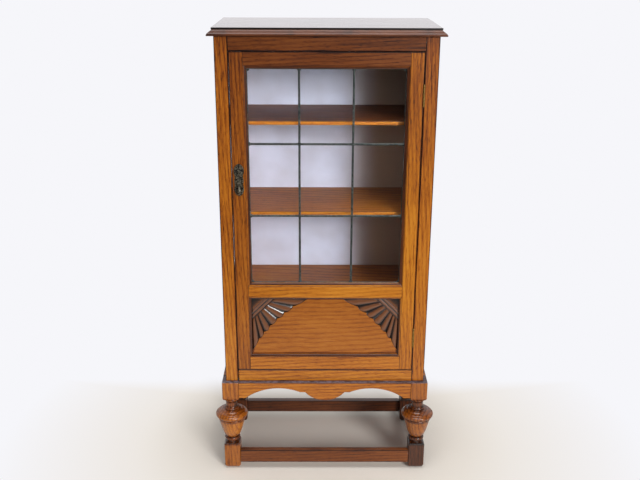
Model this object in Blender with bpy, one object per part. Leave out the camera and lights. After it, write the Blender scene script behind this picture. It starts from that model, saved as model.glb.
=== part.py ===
"""Glazed oak bookcase on a turned stand, modelled as it is joined on the bench.

Metres, +Z up, front towards -Y. The origin is on the floor, midway between the
four legs. The door hangs on two butt hinges at the right of the front frame.
"""
import math

import bmesh
import bpy
from mathutils import Matrix, Vector

# Gaps and tool overrun
CLEARANCE = 0.0003
OVERRUN = 0.002
WELD = 0.001
ARRIS = 0.0007

# Stand: four turned legs, four aprons and four stretchers
STAND_WIDTH = 0.5548
STAND_DEPTH = 0.2868
STAND_HEIGHT = 0.2694
HEAD_SIZE = 0.0444
HEAD_HEIGHT = 0.0564
HEAD_ROUND = 0.0090
HEAD_TOP_ROUND = 0.0012
FOOT_SIZE = 0.0440
FOOT_HEIGHT = 0.0793
FOOT_ROUND = 0.0140
FOOT_TOP_ROUND = 0.0012
BLOCK_CORNER = 0.0009

# Turning between the square blocks, from the foot up
LOWER_NECK_HEIGHT = 0.0080
LOWER_NECK_RADIUS = 0.0163
BASE_BEAD_HEIGHT = 0.0095
BASE_BEAD_RADIUS = 0.0212
BASE_BEAD_EDGE_RADIUS = 0.0180
CUP_HEIGHT = 0.0555
CUP_FOOT_RADIUS = 0.0172
CUP_RIM_RADIUS = 0.0360
CUP_FULLNESS_POWER = 0.62
RIM_BEAD_HEIGHT = 0.0058
RIM_BEAD_RADIUS = 0.0378
COVER_UNDER_HEIGHT = 0.0067
COVER_UNDER_RADIUS = 0.0372
COVER_RADIUS = 0.0435
COVER_TOP_HEIGHT = 0.0170
COVER_TOP_RADIUS = 0.0200
COLLAR_HEIGHT = 0.0055
COLLAR_RADIUS = 0.0202
COLLAR_EDGE_RADIUS = 0.0182
NECK_FOOT_RADIUS = 0.0170
NECK_WAIST_RADIUS = 0.0152
NECK_TOP_RADIUS = 0.0178
NECK_CURVE_POWER = 4
TURNING_SEGMENTS = 24
CUP_STEPS = 4
COVER_STEPS = 4
NECK_STEPS = 4
BEAD_STEPS = 4
CORNER_STEPS = 3
SMOOTH_ANGLE = math.radians(36)

# Aprons and stretchers
APRON_THICKNESS = 0.0180
APRON_HEIGHT = 0.0464
APRON_TENON_THICKNESS = 0.0080
APRON_TENON_LENGTH = 0.0160
APRON_TENON_SHOULDER = 0.0060
APRON_TENON_INSET = 0.0050
STRETCHER_THICKNESS = 0.0175
STRETCHER_HEIGHT = 0.0370
STRETCHER_FLOOR_GAP = 0.0210
STRETCHER_TENON_THICKNESS = 0.0080
STRETCHER_TENON_LENGTH = 0.0140
STRETCHER_TENON_SHOULDER = 0.0060

# Shaped lower edge of the front apron, across as shares of its half length
ARCH_CENTRE_SHARE = 0.5371
ARCH_OUTER_SHARE = 0.9110
ARCH_INNER_SHARE = 0.2875
ARCH_RISE = 0.0303
ARCH_STEP = 0.0020
PENDANT_WIDTH_SHARE = 0.2299
PENDANT_DROP = 0.0061
PENDANT_FILLET_RISE = 0.0184
ARCH_STEPS = 14
PENDANT_STEPS = 12

# Case, set in from the stand's edges by its ledges
CASE_HEIGHT = 0.9110
LEDGE_FRONT = 0.0117
LEDGE_BACK = 0.0088
LEDGE_SIDE = 0.0104
SIDE_THICKNESS = 0.0140
FRAME_THICKNESS = 0.0200
STILE_WIDTH = 0.0325
TOP_RAIL_HEIGHT = 0.0350
BOTTOM_RAIL_HEIGHT = 0.0330
OPEN_JOINT = 0.0027
RAIL_TENON_THICKNESS = 0.0070
RAIL_TENON_LENGTH = 0.0180
RAIL_TENON_SHOULDER = 0.0060
FLOOR_THICKNESS = 0.0120
HOUSING_DEPTH = 0.0050
TONGUE_STEP = 0.0020
BACK_THICKNESS = 0.0060
BACK_REBATE_WIDTH = 0.0080

# Top board and its edge moulding, as overhangs beyond the case
TOP_THICKNESS = 0.0190
TOP_FACE_OVERHANG = 0.0046
TOP_FILLET_HEIGHT = 0.0038
TOP_QUIRK = 0.0008
LIP_OVERHANG = 0.0153
LIP_HEIGHT = 0.0034
LIP_ROUND = 0.0012
TOP_BACK_OVERHANG = 0.0147
OGEE_STEPS = 7

# Shelves, as heights of their top faces above the case's underside
SHELF_THICKNESS = 0.0095
SHELF_SETBACK = 0.0100
UPPER_SHELF_HEIGHT = 0.7033
MIDDLE_SHELF_HEIGHT = 0.4703
LOWER_SHELF_HEIGHT = 0.2373

# Door frame
DOOR_GAP = 0.0017
DOOR_THICKNESS = 0.0200
DOOR_STILE_WIDTH = 0.0328
DOOR_TOP_RAIL_HEIGHT = 0.0315
DOOR_MID_RAIL_HEIGHT = 0.0302
DOOR_BOTTOM_RAIL_HEIGHT = 0.0377
PANEL_OPENING_HEIGHT = 0.1730
DOOR_TENON_THICKNESS = 0.0060
DOOR_TENON_LENGTH = 0.0220
DOOR_TENON_SHOULDER = 0.0070
STICKING_DEPTH = 0.0080
STICKING_QUIRK = 0.0012
STICKING_FALL = 0.0036
GLASS_STICKING = 0.0085
PANEL_STICKING = 0.0065
STICKING_STEPS = 4

# Carved panel in the lower part of the door
PANEL_THICKNESS = 0.0060
PANEL_GROOVE_DEPTH = 0.0060
PANEL_EDGE_GAP = 0.0005
FAN_WIDTH = 0.1560
FAN_HEIGHT = 0.1560
FAN_CURVE_POWER = 1.25
FAN_RAY_SHARES = (0.0, 0.14, 0.29, 0.458, 0.65, 0.796, 0.897, 1.0)
FAN_LENGTH_SHARES = (0.0, 0.35, 0.70, 0.93, 1.0)
FAN_SCALLOP_SHARE = 0.06
FAN_LAP = 0.0010
FAN_GROOVE_DEPTH = 0.0030
FAN_START_SHARE = 0.45
FAN_CREST_DEPTH = 0.0009
FAN_END_DEPTH = 0.0002
FAN_EXIT_RISE = 0.0004
FAN_STEPS_ACROSS = 4
REACH_HALVINGS = 40
HUB_DISTANCE = 0.0435
HUB_RIDGE_PITCH = 0.0082
HUB_GROOVES = 3
HUB_GROOVE_RADIUS = 0.0030
HUB_GROOVE_DEPTH = 0.0017
HUB_GROOVE_SEGMENTS = 10

# Leaded light
CAME_THICKNESS = 0.0050
CAME_FACE = 0.0056
CAME_EDGE_FACE = 0.0100
CAME_CHANNEL = 0.0015
GLASS_THICKNESS = 0.0026
GLASS_EDGE_GAP = 0.0003
MIDDLE_PANE_SHARE = 132.0 / 383.0
PANE_ROW_SHARES = (0.3345, 0.3365, 0.3290)
BEAD_WIDTH = 0.0080
PANE_COLUMNS = 3
PANE_ROWS = len(PANE_ROW_SHARES)

# Butt hinges
HINGE_LENGTH = 0.0510
HINGE_TOP_OFFSET = 0.0775
HINGE_BOTTOM_OFFSET = 0.0685
HINGE_AXIS_PROUD = 0.0012
BARREL_RADIUS = 0.0026
PIN_RADIUS = 0.0013
PIN_CLEARANCE = 0.0001
PIN_TIP_HEIGHT = 0.0016
PIN_TIP_SHARE = 0.6
LEAF_THICKNESS = 0.0012
LEAF_DEPTH = 0.0140
KNUCKLES = 5
KNUCKLE_GAP = 0.0003
BARREL_SEGMENTS = 14

# Cut cupboard lock
LOCK_BACKSET = 0.0168
LOCK_CENTRE_HEIGHT = 0.5390
LOCK_WIDTH = 0.0270
LOCK_HEIGHT = 0.0440
LOCK_DEPTH = 0.0090
BOLT_LENGTH = 0.0245
BOLT_HEIGHT = 0.0120
BOLT_THICKNESS = 0.0040
BOLT_TRAVEL = 0.0080
KEEPER_CLEARANCE = 0.0006
KEYHOLE_RADIUS = 0.0017
KEYHOLE_SLOT_WIDTH = 0.0018
KEYHOLE_SLOT_HEIGHT = 0.0055

# Pierced escutcheon and its drop pull
PLATE_HEIGHT = 0.0820
PLATE_HALF_WIDTH = 0.0124
PLATE_THICKNESS = 0.0018
PLATE_CENTRE_DROP = 0.0120
PLATE_OUTLINE_SHARES = (
    (0.00, 1.00), (0.26, 0.99), (0.50, 0.965), (0.72, 0.925), (0.90, 0.875), (1.00, 0.80),
    (0.98, 0.725), (0.86, 0.665), (0.80, 0.60), (0.88, 0.53), (0.94, 0.46), (0.86, 0.395),
    (0.84, 0.33), (0.92, 0.265), (0.96, 0.19), (0.84, 0.12), (0.62, 0.055), (0.32, 0.015),
    (0.00, 0.00),
)
PLATE_HOLES_SHARES = (
    (0.00, 0.90, 0.17), (0.52, 0.795, 0.26), (0.50, 0.515, 0.20), (0.50, 0.235, 0.26),
    (0.42, 0.105, 0.16),
)
PLATE_CURVE_STEPS = 2
PLATE_HOLE_SEGMENTS = 10
PULL_PIVOT_DROP = 0.0200
PULL_PIVOT_PROUD = 0.0052
TRUNNION_RADIUS = 0.0009
LUG_THICKNESS = 0.0018
LUG_RADIUS = 0.0022
LUG_GAP = 0.0054
PULL_EYE_RADIUS = 0.0021
PULL_LENGTH = 0.0290
PULL_RADIUS = 0.0050
PULL_FLATNESS_SHARE = 0.62
PULL_SHAPE_SHARES = (
    (0.30, 0.0), (0.30, 0.16), (0.55, 0.22), (0.34, 0.29), (0.55, 0.42), (0.88, 0.60),
    (1.00, 0.74), (0.86, 0.87), (0.52, 0.95), (0.20, 1.0),
)
PULL_SEGMENTS = 14

# Levels and planes worked out from the sizes above
LEG_X = (STAND_WIDTH - HEAD_SIZE) / 2
LEG_Y = (STAND_DEPTH - HEAD_SIZE) / 2
STAND_FRONT = -STAND_DEPTH / 2
CASE_WIDTH = STAND_WIDTH - 2 * LEDGE_SIDE
CASE_DEPTH = STAND_DEPTH - LEDGE_FRONT - LEDGE_BACK
CASE_BOTTOM = STAND_HEIGHT + CLEARANCE
CASE_TOP = CASE_BOTTOM + CASE_HEIGHT
CASE_HALF = CASE_WIDTH / 2
CASE_FRONT = STAND_FRONT + LEDGE_FRONT
CASE_BACK = CASE_FRONT + CASE_DEPTH
FRAME_BACK = CASE_FRONT + FRAME_THICKNESS
SIDE_INNER = CASE_HALF - SIDE_THICKNESS
STILE_INNER = CASE_HALF - STILE_WIDTH
BACK_FRONT_FACE = CASE_BACK - BACK_THICKNESS
FLOOR_TOP = CASE_BOTTOM + BOTTOM_RAIL_HEIGHT

DOOR_HALF = STILE_INNER - DOOR_GAP
DOOR_BOTTOM = FLOOR_TOP + DOOR_GAP
DOOR_TOP = CASE_TOP - TOP_RAIL_HEIGHT - DOOR_GAP
DOOR_BACK = CASE_FRONT + DOOR_THICKNESS
OPENING_HALF = DOOR_HALF - DOOR_STILE_WIDTH
PANEL_BOTTOM = DOOR_BOTTOM + DOOR_BOTTOM_RAIL_HEIGHT
PANEL_TOP = PANEL_BOTTOM + PANEL_OPENING_HEIGHT
GLASS_BOTTOM = PANEL_TOP + DOOR_MID_RAIL_HEIGHT
GLASS_TOP = DOOR_TOP - DOOR_TOP_RAIL_HEIGHT
PANEL_FRONT = CASE_FRONT + STICKING_DEPTH + CLEARANCE
PANEL_BACK = PANEL_FRONT + PANEL_THICKNESS
HINGE_X = (DOOR_HALF + STILE_INNER) / 2
HINGE_Y = CASE_FRONT - HINGE_AXIS_PROUD
LOCK_X = -DOOR_HALF + LOCK_BACKSET
LOCK_Z = DOOR_BOTTOM + LOCK_CENTRE_HEIGHT

# Finishes: base colour, roughness, metallic
OAK = ("varnished_oak", (0.40, 0.16, 0.045, 1.0), 0.34, 0.0)
OAK_DARK = ("dark_varnished_oak", (0.20, 0.065, 0.025, 1.0), 0.30, 0.0)
PALE_BACK = ("painted_back", (0.62, 0.63, 0.68, 1.0), 0.70, 0.0)
LEAD = ("lead_came", (0.11, 0.13, 0.12, 1.0), 0.45, 0.8)
CLEAR_GLASS = ("drawn_glass", (0.85, 0.90, 0.92, 1.0), 0.05, 0.0)
BRASS = ("aged_brass", (0.50, 0.36, 0.14, 1.0), 0.35, 1.0)
BRONZE = ("dark_bronze", (0.13, 0.13, 0.10, 1.0), 0.42, 0.9)
STEEL = ("dull_steel", (0.32, 0.31, 0.30, 1.0), 0.40, 1.0)


def clear_scene():
    """Take every object out of the scene."""
    for thing in list(bpy.data.objects):
        bpy.data.objects.remove(thing)


def material_for(finish):
    """Return the finish's material, made once."""
    name, colour, roughness, metallic = finish
    material = bpy.data.materials.get(name)
    if material is None:
        material = bpy.data.materials.new(name)
        material.use_nodes = True
        shader = material.node_tree.nodes["Principled BSDF"]
        shader.inputs["Base Color"].default_value = colour
        shader.inputs["Roughness"].default_value = roughness
        shader.inputs["Metallic"].default_value = metallic
    return material


def object_from(bm, name):
    """Turn a bmesh into an object in the scene, faces pointing out."""
    bmesh.ops.recalc_face_normals(bm, faces=bm.faces)
    mesh = bpy.data.meshes.new(name)
    bm.to_mesh(mesh)
    bm.free()
    thing = bpy.data.objects.new(name, mesh)
    bpy.context.scene.collection.objects.link(thing)
    return thing


def box(name, low, high, arris=0.0):
    """Make a board between two corners, with its arrises eased if asked."""
    low, high = Vector(low), Vector(high)
    size = high - low
    bm = bmesh.new()
    place = Matrix.Translation((low + high) / 2) @ Matrix.Diagonal((*size, 1))
    bmesh.ops.create_cube(bm, size=1, matrix=place)
    if arris:
        bmesh.ops.bevel(bm, geom=bm.edges[:], offset=arris, segments=1, affect="EDGES")
    return object_from(bm, name)


def loft(name, loops):
    """Bridge closed loops of equal length and cap both ends."""
    bm = bmesh.new()
    rings = [[bm.verts.new(point) for point in loop] for loop in loops]
    count = len(rings[0])
    for lower, upper in zip(rings, rings[1:]):
        for i in range(count):
            j = (i + 1) % count
            bm.faces.new((lower[i], lower[j], upper[j], upper[i]))
    bm.faces.new(rings[0])
    bm.faces.new(rings[-1])
    return object_from(bm, name)


def prism(name, outline, axis, start, stop):
    """Extrude a flat outline along X, Y or Z from start to stop."""
    order = {"X": lambda a, b, c: (c, a, b), "Y": lambda a, b, c: (a, c, b), "Z": lambda a, b, c: (a, b, c)}
    put = order[axis]
    return loft(name, [[put(a, b, level) for a, b in outline] for level in (start, stop)])


def cylinder(name, centre, radius, axis, length, segments):
    """Make a round bar centred on a point, along X, Y or Z."""
    turn = {"X": Matrix.Rotation(math.pi / 2, 4, "Y"), "Y": Matrix.Rotation(math.pi / 2, 4, "X"), "Z": Matrix()}
    bm = bmesh.new()
    bmesh.ops.create_cone(
        bm, cap_ends=True, segments=segments, radius1=radius, radius2=radius, depth=length,
        matrix=Matrix.Translation(centre) @ turn[axis],
    )
    return object_from(bm, name)


def combine(target, tools, operation):
    """Join, cut or intersect the tools with the target, then drop them."""
    for tool in tools:
        modifier = target.modifiers.new(operation.title(), "BOOLEAN")
        modifier.operation = operation
        modifier.solver = "EXACT"
        modifier.object = tool
        graph = bpy.context.evaluated_depsgraph_get()
        result = bpy.data.meshes.new_from_object(target.evaluated_get(graph))
        target.modifiers.clear()
        old = target.data
        target.data = result
        bpy.data.meshes.remove(old)
        bpy.data.objects.remove(tool)
    return target


def join(target, *tools):
    """Fuse solids that are one piece of wood or metal."""
    return combine(target, tools, "UNION")


def cut(target, *tools):
    """Cut sockets, grooves or holes."""
    return combine(target, tools, "DIFFERENCE")


def complete(thing, finish, origin=(0.0, 0.0, 0.0), smooth=False):
    """Give a piece its finish, its origin and, if round, smooth shading."""
    mesh = thing.data
    mesh.name = thing.name
    mesh.materials.clear()
    mesh.materials.append(material_for(finish))
    mesh.transform(Matrix.Translation(Vector(origin)).inverted())
    thing.location = origin
    if smooth:
        mesh.shade_smooth()
        mesh.set_sharp_from_angle(angle=SMOOTH_ANGLE)
    return thing


def pivot(name, place, pieces):
    """Hang pieces on an empty that stands on their joint's axis."""
    empty = bpy.data.objects.new(name, None)
    empty.empty_display_size = BARREL_RADIUS
    empty.location = place
    bpy.context.scene.collection.objects.link(empty)
    for piece in pieces:
        piece.parent = empty
        piece.matrix_parent_inverse = Matrix.Translation(Vector(place)).inverted()
    return empty


def curve_steps(steps):
    """Return even steps from 0 to 1."""
    return [i / steps for i in range(steps + 1)]


def bead_profile(low, height, edge_radius, full_radius):
    """Return a half-round bead's radii and levels, from the bottom up."""
    points = []
    for share in curve_steps(BEAD_STEPS):
        swell = math.sin(math.pi * share)
        level = low + height * (1 - math.cos(math.pi * share)) / 2
        points.append((edge_radius + (full_radius - edge_radius) * swell, level))
    return points


def leg_profile():
    """Return the turned part's radii and levels, from the foot block up."""
    profile = []
    level = FOOT_HEIGHT
    profile.append((LOWER_NECK_RADIUS, level - WELD))
    level += LOWER_NECK_HEIGHT
    profile.append((LOWER_NECK_RADIUS, level))
    profile += bead_profile(level, BASE_BEAD_HEIGHT, BASE_BEAD_EDGE_RADIUS, BASE_BEAD_RADIUS)
    level += BASE_BEAD_HEIGHT
    for share in curve_steps(CUP_STEPS):
        widening = share ** CUP_FULLNESS_POWER
        radius = CUP_FOOT_RADIUS + (CUP_RIM_RADIUS - CUP_FOOT_RADIUS) * widening
        profile.append((radius, level + CUP_HEIGHT * share))
    level += CUP_HEIGHT
    profile += bead_profile(level, RIM_BEAD_HEIGHT, CUP_RIM_RADIUS, RIM_BEAD_RADIUS)[1:]
    level += RIM_BEAD_HEIGHT
    for share in curve_steps(COVER_STEPS - 1):
        swell = math.sin(math.pi / 2 * share)
        rise = 1 - math.cos(math.pi / 2 * share)
        radius = COVER_UNDER_RADIUS + (COVER_RADIUS - COVER_UNDER_RADIUS) * swell
        profile.append((radius, level + COVER_UNDER_HEIGHT * rise))
    level += COVER_UNDER_HEIGHT
    for share in curve_steps(COVER_STEPS)[1:]:
        fall = (1 - math.cos(math.pi * share)) / 2
        level_share = math.sin(math.pi / 2 * share)
        radius = COVER_RADIUS - (COVER_RADIUS - COVER_TOP_RADIUS) * fall
        profile.append((radius, level + COVER_TOP_HEIGHT * level_share))
    level += COVER_TOP_HEIGHT
    profile += bead_profile(level, COLLAR_HEIGHT, COLLAR_EDGE_RADIUS, COLLAR_RADIUS)
    level += COLLAR_HEIGHT
    top = STAND_HEIGHT - HEAD_HEIGHT
    for share in curve_steps(NECK_STEPS):
        end_radius = NECK_FOOT_RADIUS if share * 2 < 1 else NECK_TOP_RADIUS
        radius = NECK_WAIST_RADIUS + (end_radius - NECK_WAIST_RADIUS) * (2 * share - 1) ** NECK_CURVE_POWER
        profile.append((radius, level + (top - level) * share))
    profile.append((NECK_TOP_RADIUS, top + WELD))
    return profile


def turned(name, profile):
    """Turn a profile of radii and levels about the Z axis."""
    loops = []
    for radius, level in profile:
        ring = []
        for i in range(TURNING_SEGMENTS):
            angle = 2 * math.pi * i / TURNING_SEGMENTS
            ring.append((radius * math.cos(angle), radius * math.sin(angle), level))
        loops.append(ring)
    return loft(name, loops)


def square_block(name, size, bottom, top, bottom_round, top_round):
    """Make a square leg block with rounded ends and eased corners."""
    layers = []
    for share in curve_steps(CORNER_STEPS):
        angle = math.pi / 2 * share
        inset = bottom_round * (1 - math.sin(angle))
        layers.append((size / 2 - inset, bottom + bottom_round * (1 - math.cos(angle))))
    layers.append((size / 2, top - top_round))
    layers.append((size / 2 - top_round, top))
    loops = []
    for half, level in layers:
        near = half - BLOCK_CORNER
        corners = [(half, -near), (half, near), (near, half), (-near, half)]
        corners += [(-half, near), (-half, -near), (-near, -half), (near, -half)]
        loops.append([(x, y, level) for x, y in corners])
    return loft(name, loops)


def leg_socket_boxes(side, end):
    """Return the corners of one leg's four mortises, about the leg's axis."""
    half = HEAD_SIZE / 2
    foot = FOOT_SIZE / 2
    low = STAND_HEIGHT - APRON_HEIGHT + APRON_TENON_SHOULDER - CLEARANCE
    high = STAND_HEIGHT - APRON_TENON_SHOULDER + CLEARANCE
    across = (
        half - APRON_TENON_INSET + CLEARANCE,
        half - APRON_TENON_INSET - APRON_TENON_THICKNESS - CLEARANCE,
    )
    deep = half - APRON_TENON_LENGTH - CLEARANCE
    sockets = [
        ((-side * half - side * OVERRUN, end * across[0], low), (-side * deep, end * across[1], high)),
        ((side * across[0], -end * half - end * OVERRUN, low), (side * across[1], -end * deep, high)),
    ]
    low = STRETCHER_FLOOR_GAP + STRETCHER_TENON_SHOULDER - CLEARANCE
    high = STRETCHER_FLOOR_GAP + STRETCHER_HEIGHT - STRETCHER_TENON_SHOULDER + CLEARANCE
    deep = foot - STRETCHER_TENON_LENGTH - CLEARANCE
    room = STRETCHER_TENON_THICKNESS / 2 + CLEARANCE
    centre_y = long_stretcher_centre(end) - end * LEG_Y
    centre_x = side * (side_stretcher_centre() - LEG_X)
    sockets += [
        ((-side * foot - side * OVERRUN, centre_y - room, low), (-side * deep, centre_y + room, high)),
        ((centre_x - room, -end * foot - end * OVERRUN, low), (centre_x + room, -end * deep, high)),
    ]
    return sockets


def long_stretcher_centre(end):
    """Return the Y of the front (-1) or back (1) stretcher's middle plane."""
    return end * (LEG_Y + FOOT_SIZE / 2 - STRETCHER_THICKNESS / 2)


def side_stretcher_centre():
    """Return how far out the side stretchers' middle planes lie."""
    return LEG_X + FOOT_SIZE / 2 - STRETCHER_THICKNESS / 2


def sorted_box(name, first, second):
    """Make a box from any two opposite corners."""
    low = [min(a, b) for a, b in zip(first, second)]
    high = [max(a, b) for a, b in zip(first, second)]
    return box(name, low, high)


def make_leg(name, side, end):
    """Make one leg: square head, cup and cover turning, square foot."""
    leg = turned(name, leg_profile())
    head = square_block("head", HEAD_SIZE, STAND_HEIGHT - HEAD_HEIGHT, STAND_HEIGHT, HEAD_ROUND, HEAD_TOP_ROUND)
    foot = square_block("foot", FOOT_SIZE, 0.0, FOOT_HEIGHT, FOOT_ROUND, FOOT_TOP_ROUND)
    join(leg, head, foot)
    sockets = [sorted_box("socket", *corners) for corners in leg_socket_boxes(side, end)]
    cut(leg, *sockets)
    complete(leg, OAK, smooth=True)
    leg.location = (side * LEG_X, end * LEG_Y, 0.0)
    return leg


def front_apron_outline():
    """Return the front apron's outline: arches each side of a pendant."""
    half = LEG_X - HEAD_SIZE / 2 - CLEARANCE
    foot_level = STAND_HEIGHT - APRON_HEIGHT
    arch_top = foot_level + ARCH_RISE
    middle = ARCH_CENTRE_SHARE * half
    outer = ARCH_OUTER_SHARE * half
    inner = ARCH_INNER_SHARE * half
    fall = ARCH_RISE - ARCH_STEP
    arch_radius = ((outer - middle) ** 2 + fall ** 2) / (2 * fall)
    arch_centre = arch_top - arch_radius
    right = []
    chord = PENDANT_WIDTH_SHARE * half
    sagitta = PENDANT_DROP + PENDANT_FILLET_RISE
    radius = (chord ** 2 + sagitta ** 2) / (2 * sagitta)
    pendant_centre = foot_level - PENDANT_DROP + radius
    for share in curve_steps(PENDANT_STEPS // 2):
        x = chord * share
        right.append((x, pendant_centre - math.sqrt(radius ** 2 - x ** 2)))
    for share in curve_steps(ARCH_STEPS):
        x = inner + (outer - inner) * share
        right.append((x, arch_centre + math.sqrt(arch_radius ** 2 - (x - middle) ** 2)))
    right.append((outer, foot_level))
    right.append((half, foot_level))
    right.append((half, STAND_HEIGHT))
    left = [(-x, z) for x, z in reversed(right[1:])]
    return left + right


def make_aprons():
    """Make the four aprons with their tenons."""
    reach_x = LEG_X - HEAD_SIZE / 2 - CLEARANCE
    reach_y = LEG_Y - HEAD_SIZE / 2 - CLEARANCE
    low = STAND_HEIGHT - APRON_HEIGHT
    tenon_low = low + APRON_TENON_SHOULDER
    tenon_high = STAND_HEIGHT - APRON_TENON_SHOULDER
    for name, end in (("apron_front", -1), ("apron_back", 1)):
        outer = end * STAND_DEPTH / 2
        inner = outer - end * APRON_THICKNESS
        if end < 0:
            apron = prism(name, front_apron_outline(), "Y", outer, inner)
        else:
            apron = box(name, (-reach_x, inner, low), (reach_x, outer, STAND_HEIGHT))
        face = outer - end * APRON_TENON_INSET
        heel = face - end * APRON_TENON_THICKNESS
        tenons = []
        for side in (-1, 1):
            root = (side * (reach_x - WELD), face, tenon_low)
            tip = (side * (reach_x + APRON_TENON_LENGTH), heel, tenon_high)
            tenons.append(sorted_box("tenon", root, tip))
        join(apron, *tenons)
        complete(apron, OAK, (0.0, (outer + inner) / 2, low))
    for name, side in (("apron_left", -1), ("apron_right", 1)):
        outer = side * STAND_WIDTH / 2
        inner = outer - side * APRON_THICKNESS
        apron = sorted_box(name, (outer, -reach_y, low), (inner, reach_y, STAND_HEIGHT))
        face = outer - side * APRON_TENON_INSET
        heel = face - side * APRON_TENON_THICKNESS
        tenons = []
        for end in (-1, 1):
            root = (face, end * (reach_y - WELD), tenon_low)
            tip = (heel, end * (reach_y + APRON_TENON_LENGTH), tenon_high)
            tenons.append(sorted_box("tenon", root, tip))
        join(apron, *tenons)
        complete(apron, OAK, ((outer + inner) / 2, 0.0, low))


def make_stretchers():
    """Make the four stretchers, each flush with the outer face of its feet."""
    reach_x = LEG_X - FOOT_SIZE / 2 - CLEARANCE
    reach_y = LEG_Y - FOOT_SIZE / 2 - CLEARANCE
    low = STRETCHER_FLOOR_GAP
    high = low + STRETCHER_HEIGHT
    tenon_low = low + STRETCHER_TENON_SHOULDER
    tenon_high = high - STRETCHER_TENON_SHOULDER
    half = STRETCHER_THICKNESS / 2
    room = STRETCHER_TENON_THICKNESS / 2
    for name, end in (("stretcher_front", -1), ("stretcher_back", 1)):
        middle = long_stretcher_centre(end)
        bar = box(name, (-reach_x, middle - half, low), (reach_x, middle + half, high), ARRIS)
        tenons = []
        for side in (-1, 1):
            root = (side * (reach_x - WELD), middle - room, tenon_low)
            tip = (side * (reach_x + STRETCHER_TENON_LENGTH), middle + room, tenon_high)
            tenons.append(sorted_box("tenon", root, tip))
        join(bar, *tenons)
        complete(bar, OAK_DARK, (0.0, middle, low))
    for name, side in (("stretcher_left", -1), ("stretcher_right", 1)):
        middle = side * side_stretcher_centre()
        bar = box(name, (middle - half, -reach_y, low), (middle + half, reach_y, high), ARRIS)
        tenons = []
        for end in (-1, 1):
            root = (middle - room, end * (reach_y - WELD), tenon_low)
            tip = (middle + room, end * (reach_y + STRETCHER_TENON_LENGTH), tenon_high)
            tenons.append(sorted_box("tenon", root, tip))
        join(bar, *tenons)
        complete(bar, OAK_DARK, (middle, 0.0, low))


def shelf_levels():
    """Return each shelf's name and the level of its top face."""
    return (
        ("shelf_upper", CASE_BOTTOM + UPPER_SHELF_HEIGHT),
        ("shelf_middle", CASE_BOTTOM + MIDDLE_SHELF_HEIGHT),
        ("shelf_lower", CASE_BOTTOM + LOWER_SHELF_HEIGHT),
    )


def make_case_sides():
    """Make the two sides with housings for the shelves and the floor."""
    front = FRAME_BACK + CLEARANCE
    shelf_front = FRAME_BACK + SHELF_SETBACK
    rebate_x = SIDE_INNER + BACK_REBATE_WIDTH
    rebate_y = BACK_FRONT_FACE - CLEARANCE
    for name, side in (("case_side_left", -1), ("case_side_right", 1)):
        outer_corner = (side * CASE_HALF, front, CASE_BOTTOM)
        board = sorted_box(name, outer_corner, (side * SIDE_INNER, CASE_BACK, CASE_TOP))
        housed = side * (SIDE_INNER + HOUSING_DEPTH)
        mouth = side * (SIDE_INNER - OVERRUN)
        tools = [sorted_box(
            "rebate",
            (side * rebate_x, rebate_y, CASE_BOTTOM - OVERRUN),
            (mouth, CASE_BACK + OVERRUN, CASE_TOP + OVERRUN),
        )]
        for _, level in shelf_levels():
            tools.append(sorted_box(
                "housing",
                (housed, shelf_front - CLEARANCE, level - SHELF_THICKNESS - CLEARANCE),
                (mouth, CASE_BACK + OVERRUN, level - TONGUE_STEP + CLEARANCE),
            ))
        tools.append(sorted_box(
            "housing",
            (housed, front - OVERRUN, FLOOR_TOP - FLOOR_THICKNESS - CLEARANCE),
            (mouth, CASE_BACK + OVERRUN, FLOOR_TOP - TONGUE_STEP + CLEARANCE),
        ))
        cut(board, *tools)
        complete(board, OAK, (side * CASE_HALF, front, CASE_BOTTOM))


def housed_board(name, front, low, high, arris=0.0):
    """Make a board whose ends are bare-faced tongues that sit in the sides."""
    shoulder = SIDE_INNER - CLEARANCE
    reach = SIDE_INNER + HOUSING_DEPTH - CLEARANCE
    back = BACK_FRONT_FACE - 2 * CLEARANCE
    board = box(name, (-reach, front, low), (reach, back, high), arris)
    tools = []
    for side in (-1, 1):
        tools.append(sorted_box(
            "shoulder",
            (side * shoulder, front - OVERRUN, high - TONGUE_STEP),
            (side * (reach + OVERRUN), back + OVERRUN, high + OVERRUN),
        ))
    cut(board, *tools)
    complete(board, OAK, (0.0, front, low))


def make_boards_between():
    """Make the floor, the back and the three shelves."""
    housed_board("case_floor", FRAME_BACK + CLEARANCE, FLOOR_TOP - FLOOR_THICKNESS, FLOOR_TOP)
    back_half = SIDE_INNER + BACK_REBATE_WIDTH - CLEARANCE
    panel = box(
        "back_panel",
        (-back_half, BACK_FRONT_FACE, CASE_BOTTOM),
        (back_half, CASE_BACK, CASE_TOP),
    )
    complete(panel, PALE_BACK, (0.0, BACK_FRONT_FACE, CASE_BOTTOM))
    for name, level in shelf_levels():
        housed_board(name, FRAME_BACK + SHELF_SETBACK, level - SHELF_THICKNESS, level, ARRIS)


def hinge_levels():
    """Return the names and middle levels of the two hinges."""
    half = HINGE_LENGTH / 2
    return (
        ("hinge_upper", DOOR_TOP - HINGE_TOP_OFFSET - half),
        ("hinge_lower", DOOR_BOTTOM + HINGE_BOTTOM_OFFSET + half),
    )


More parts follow.
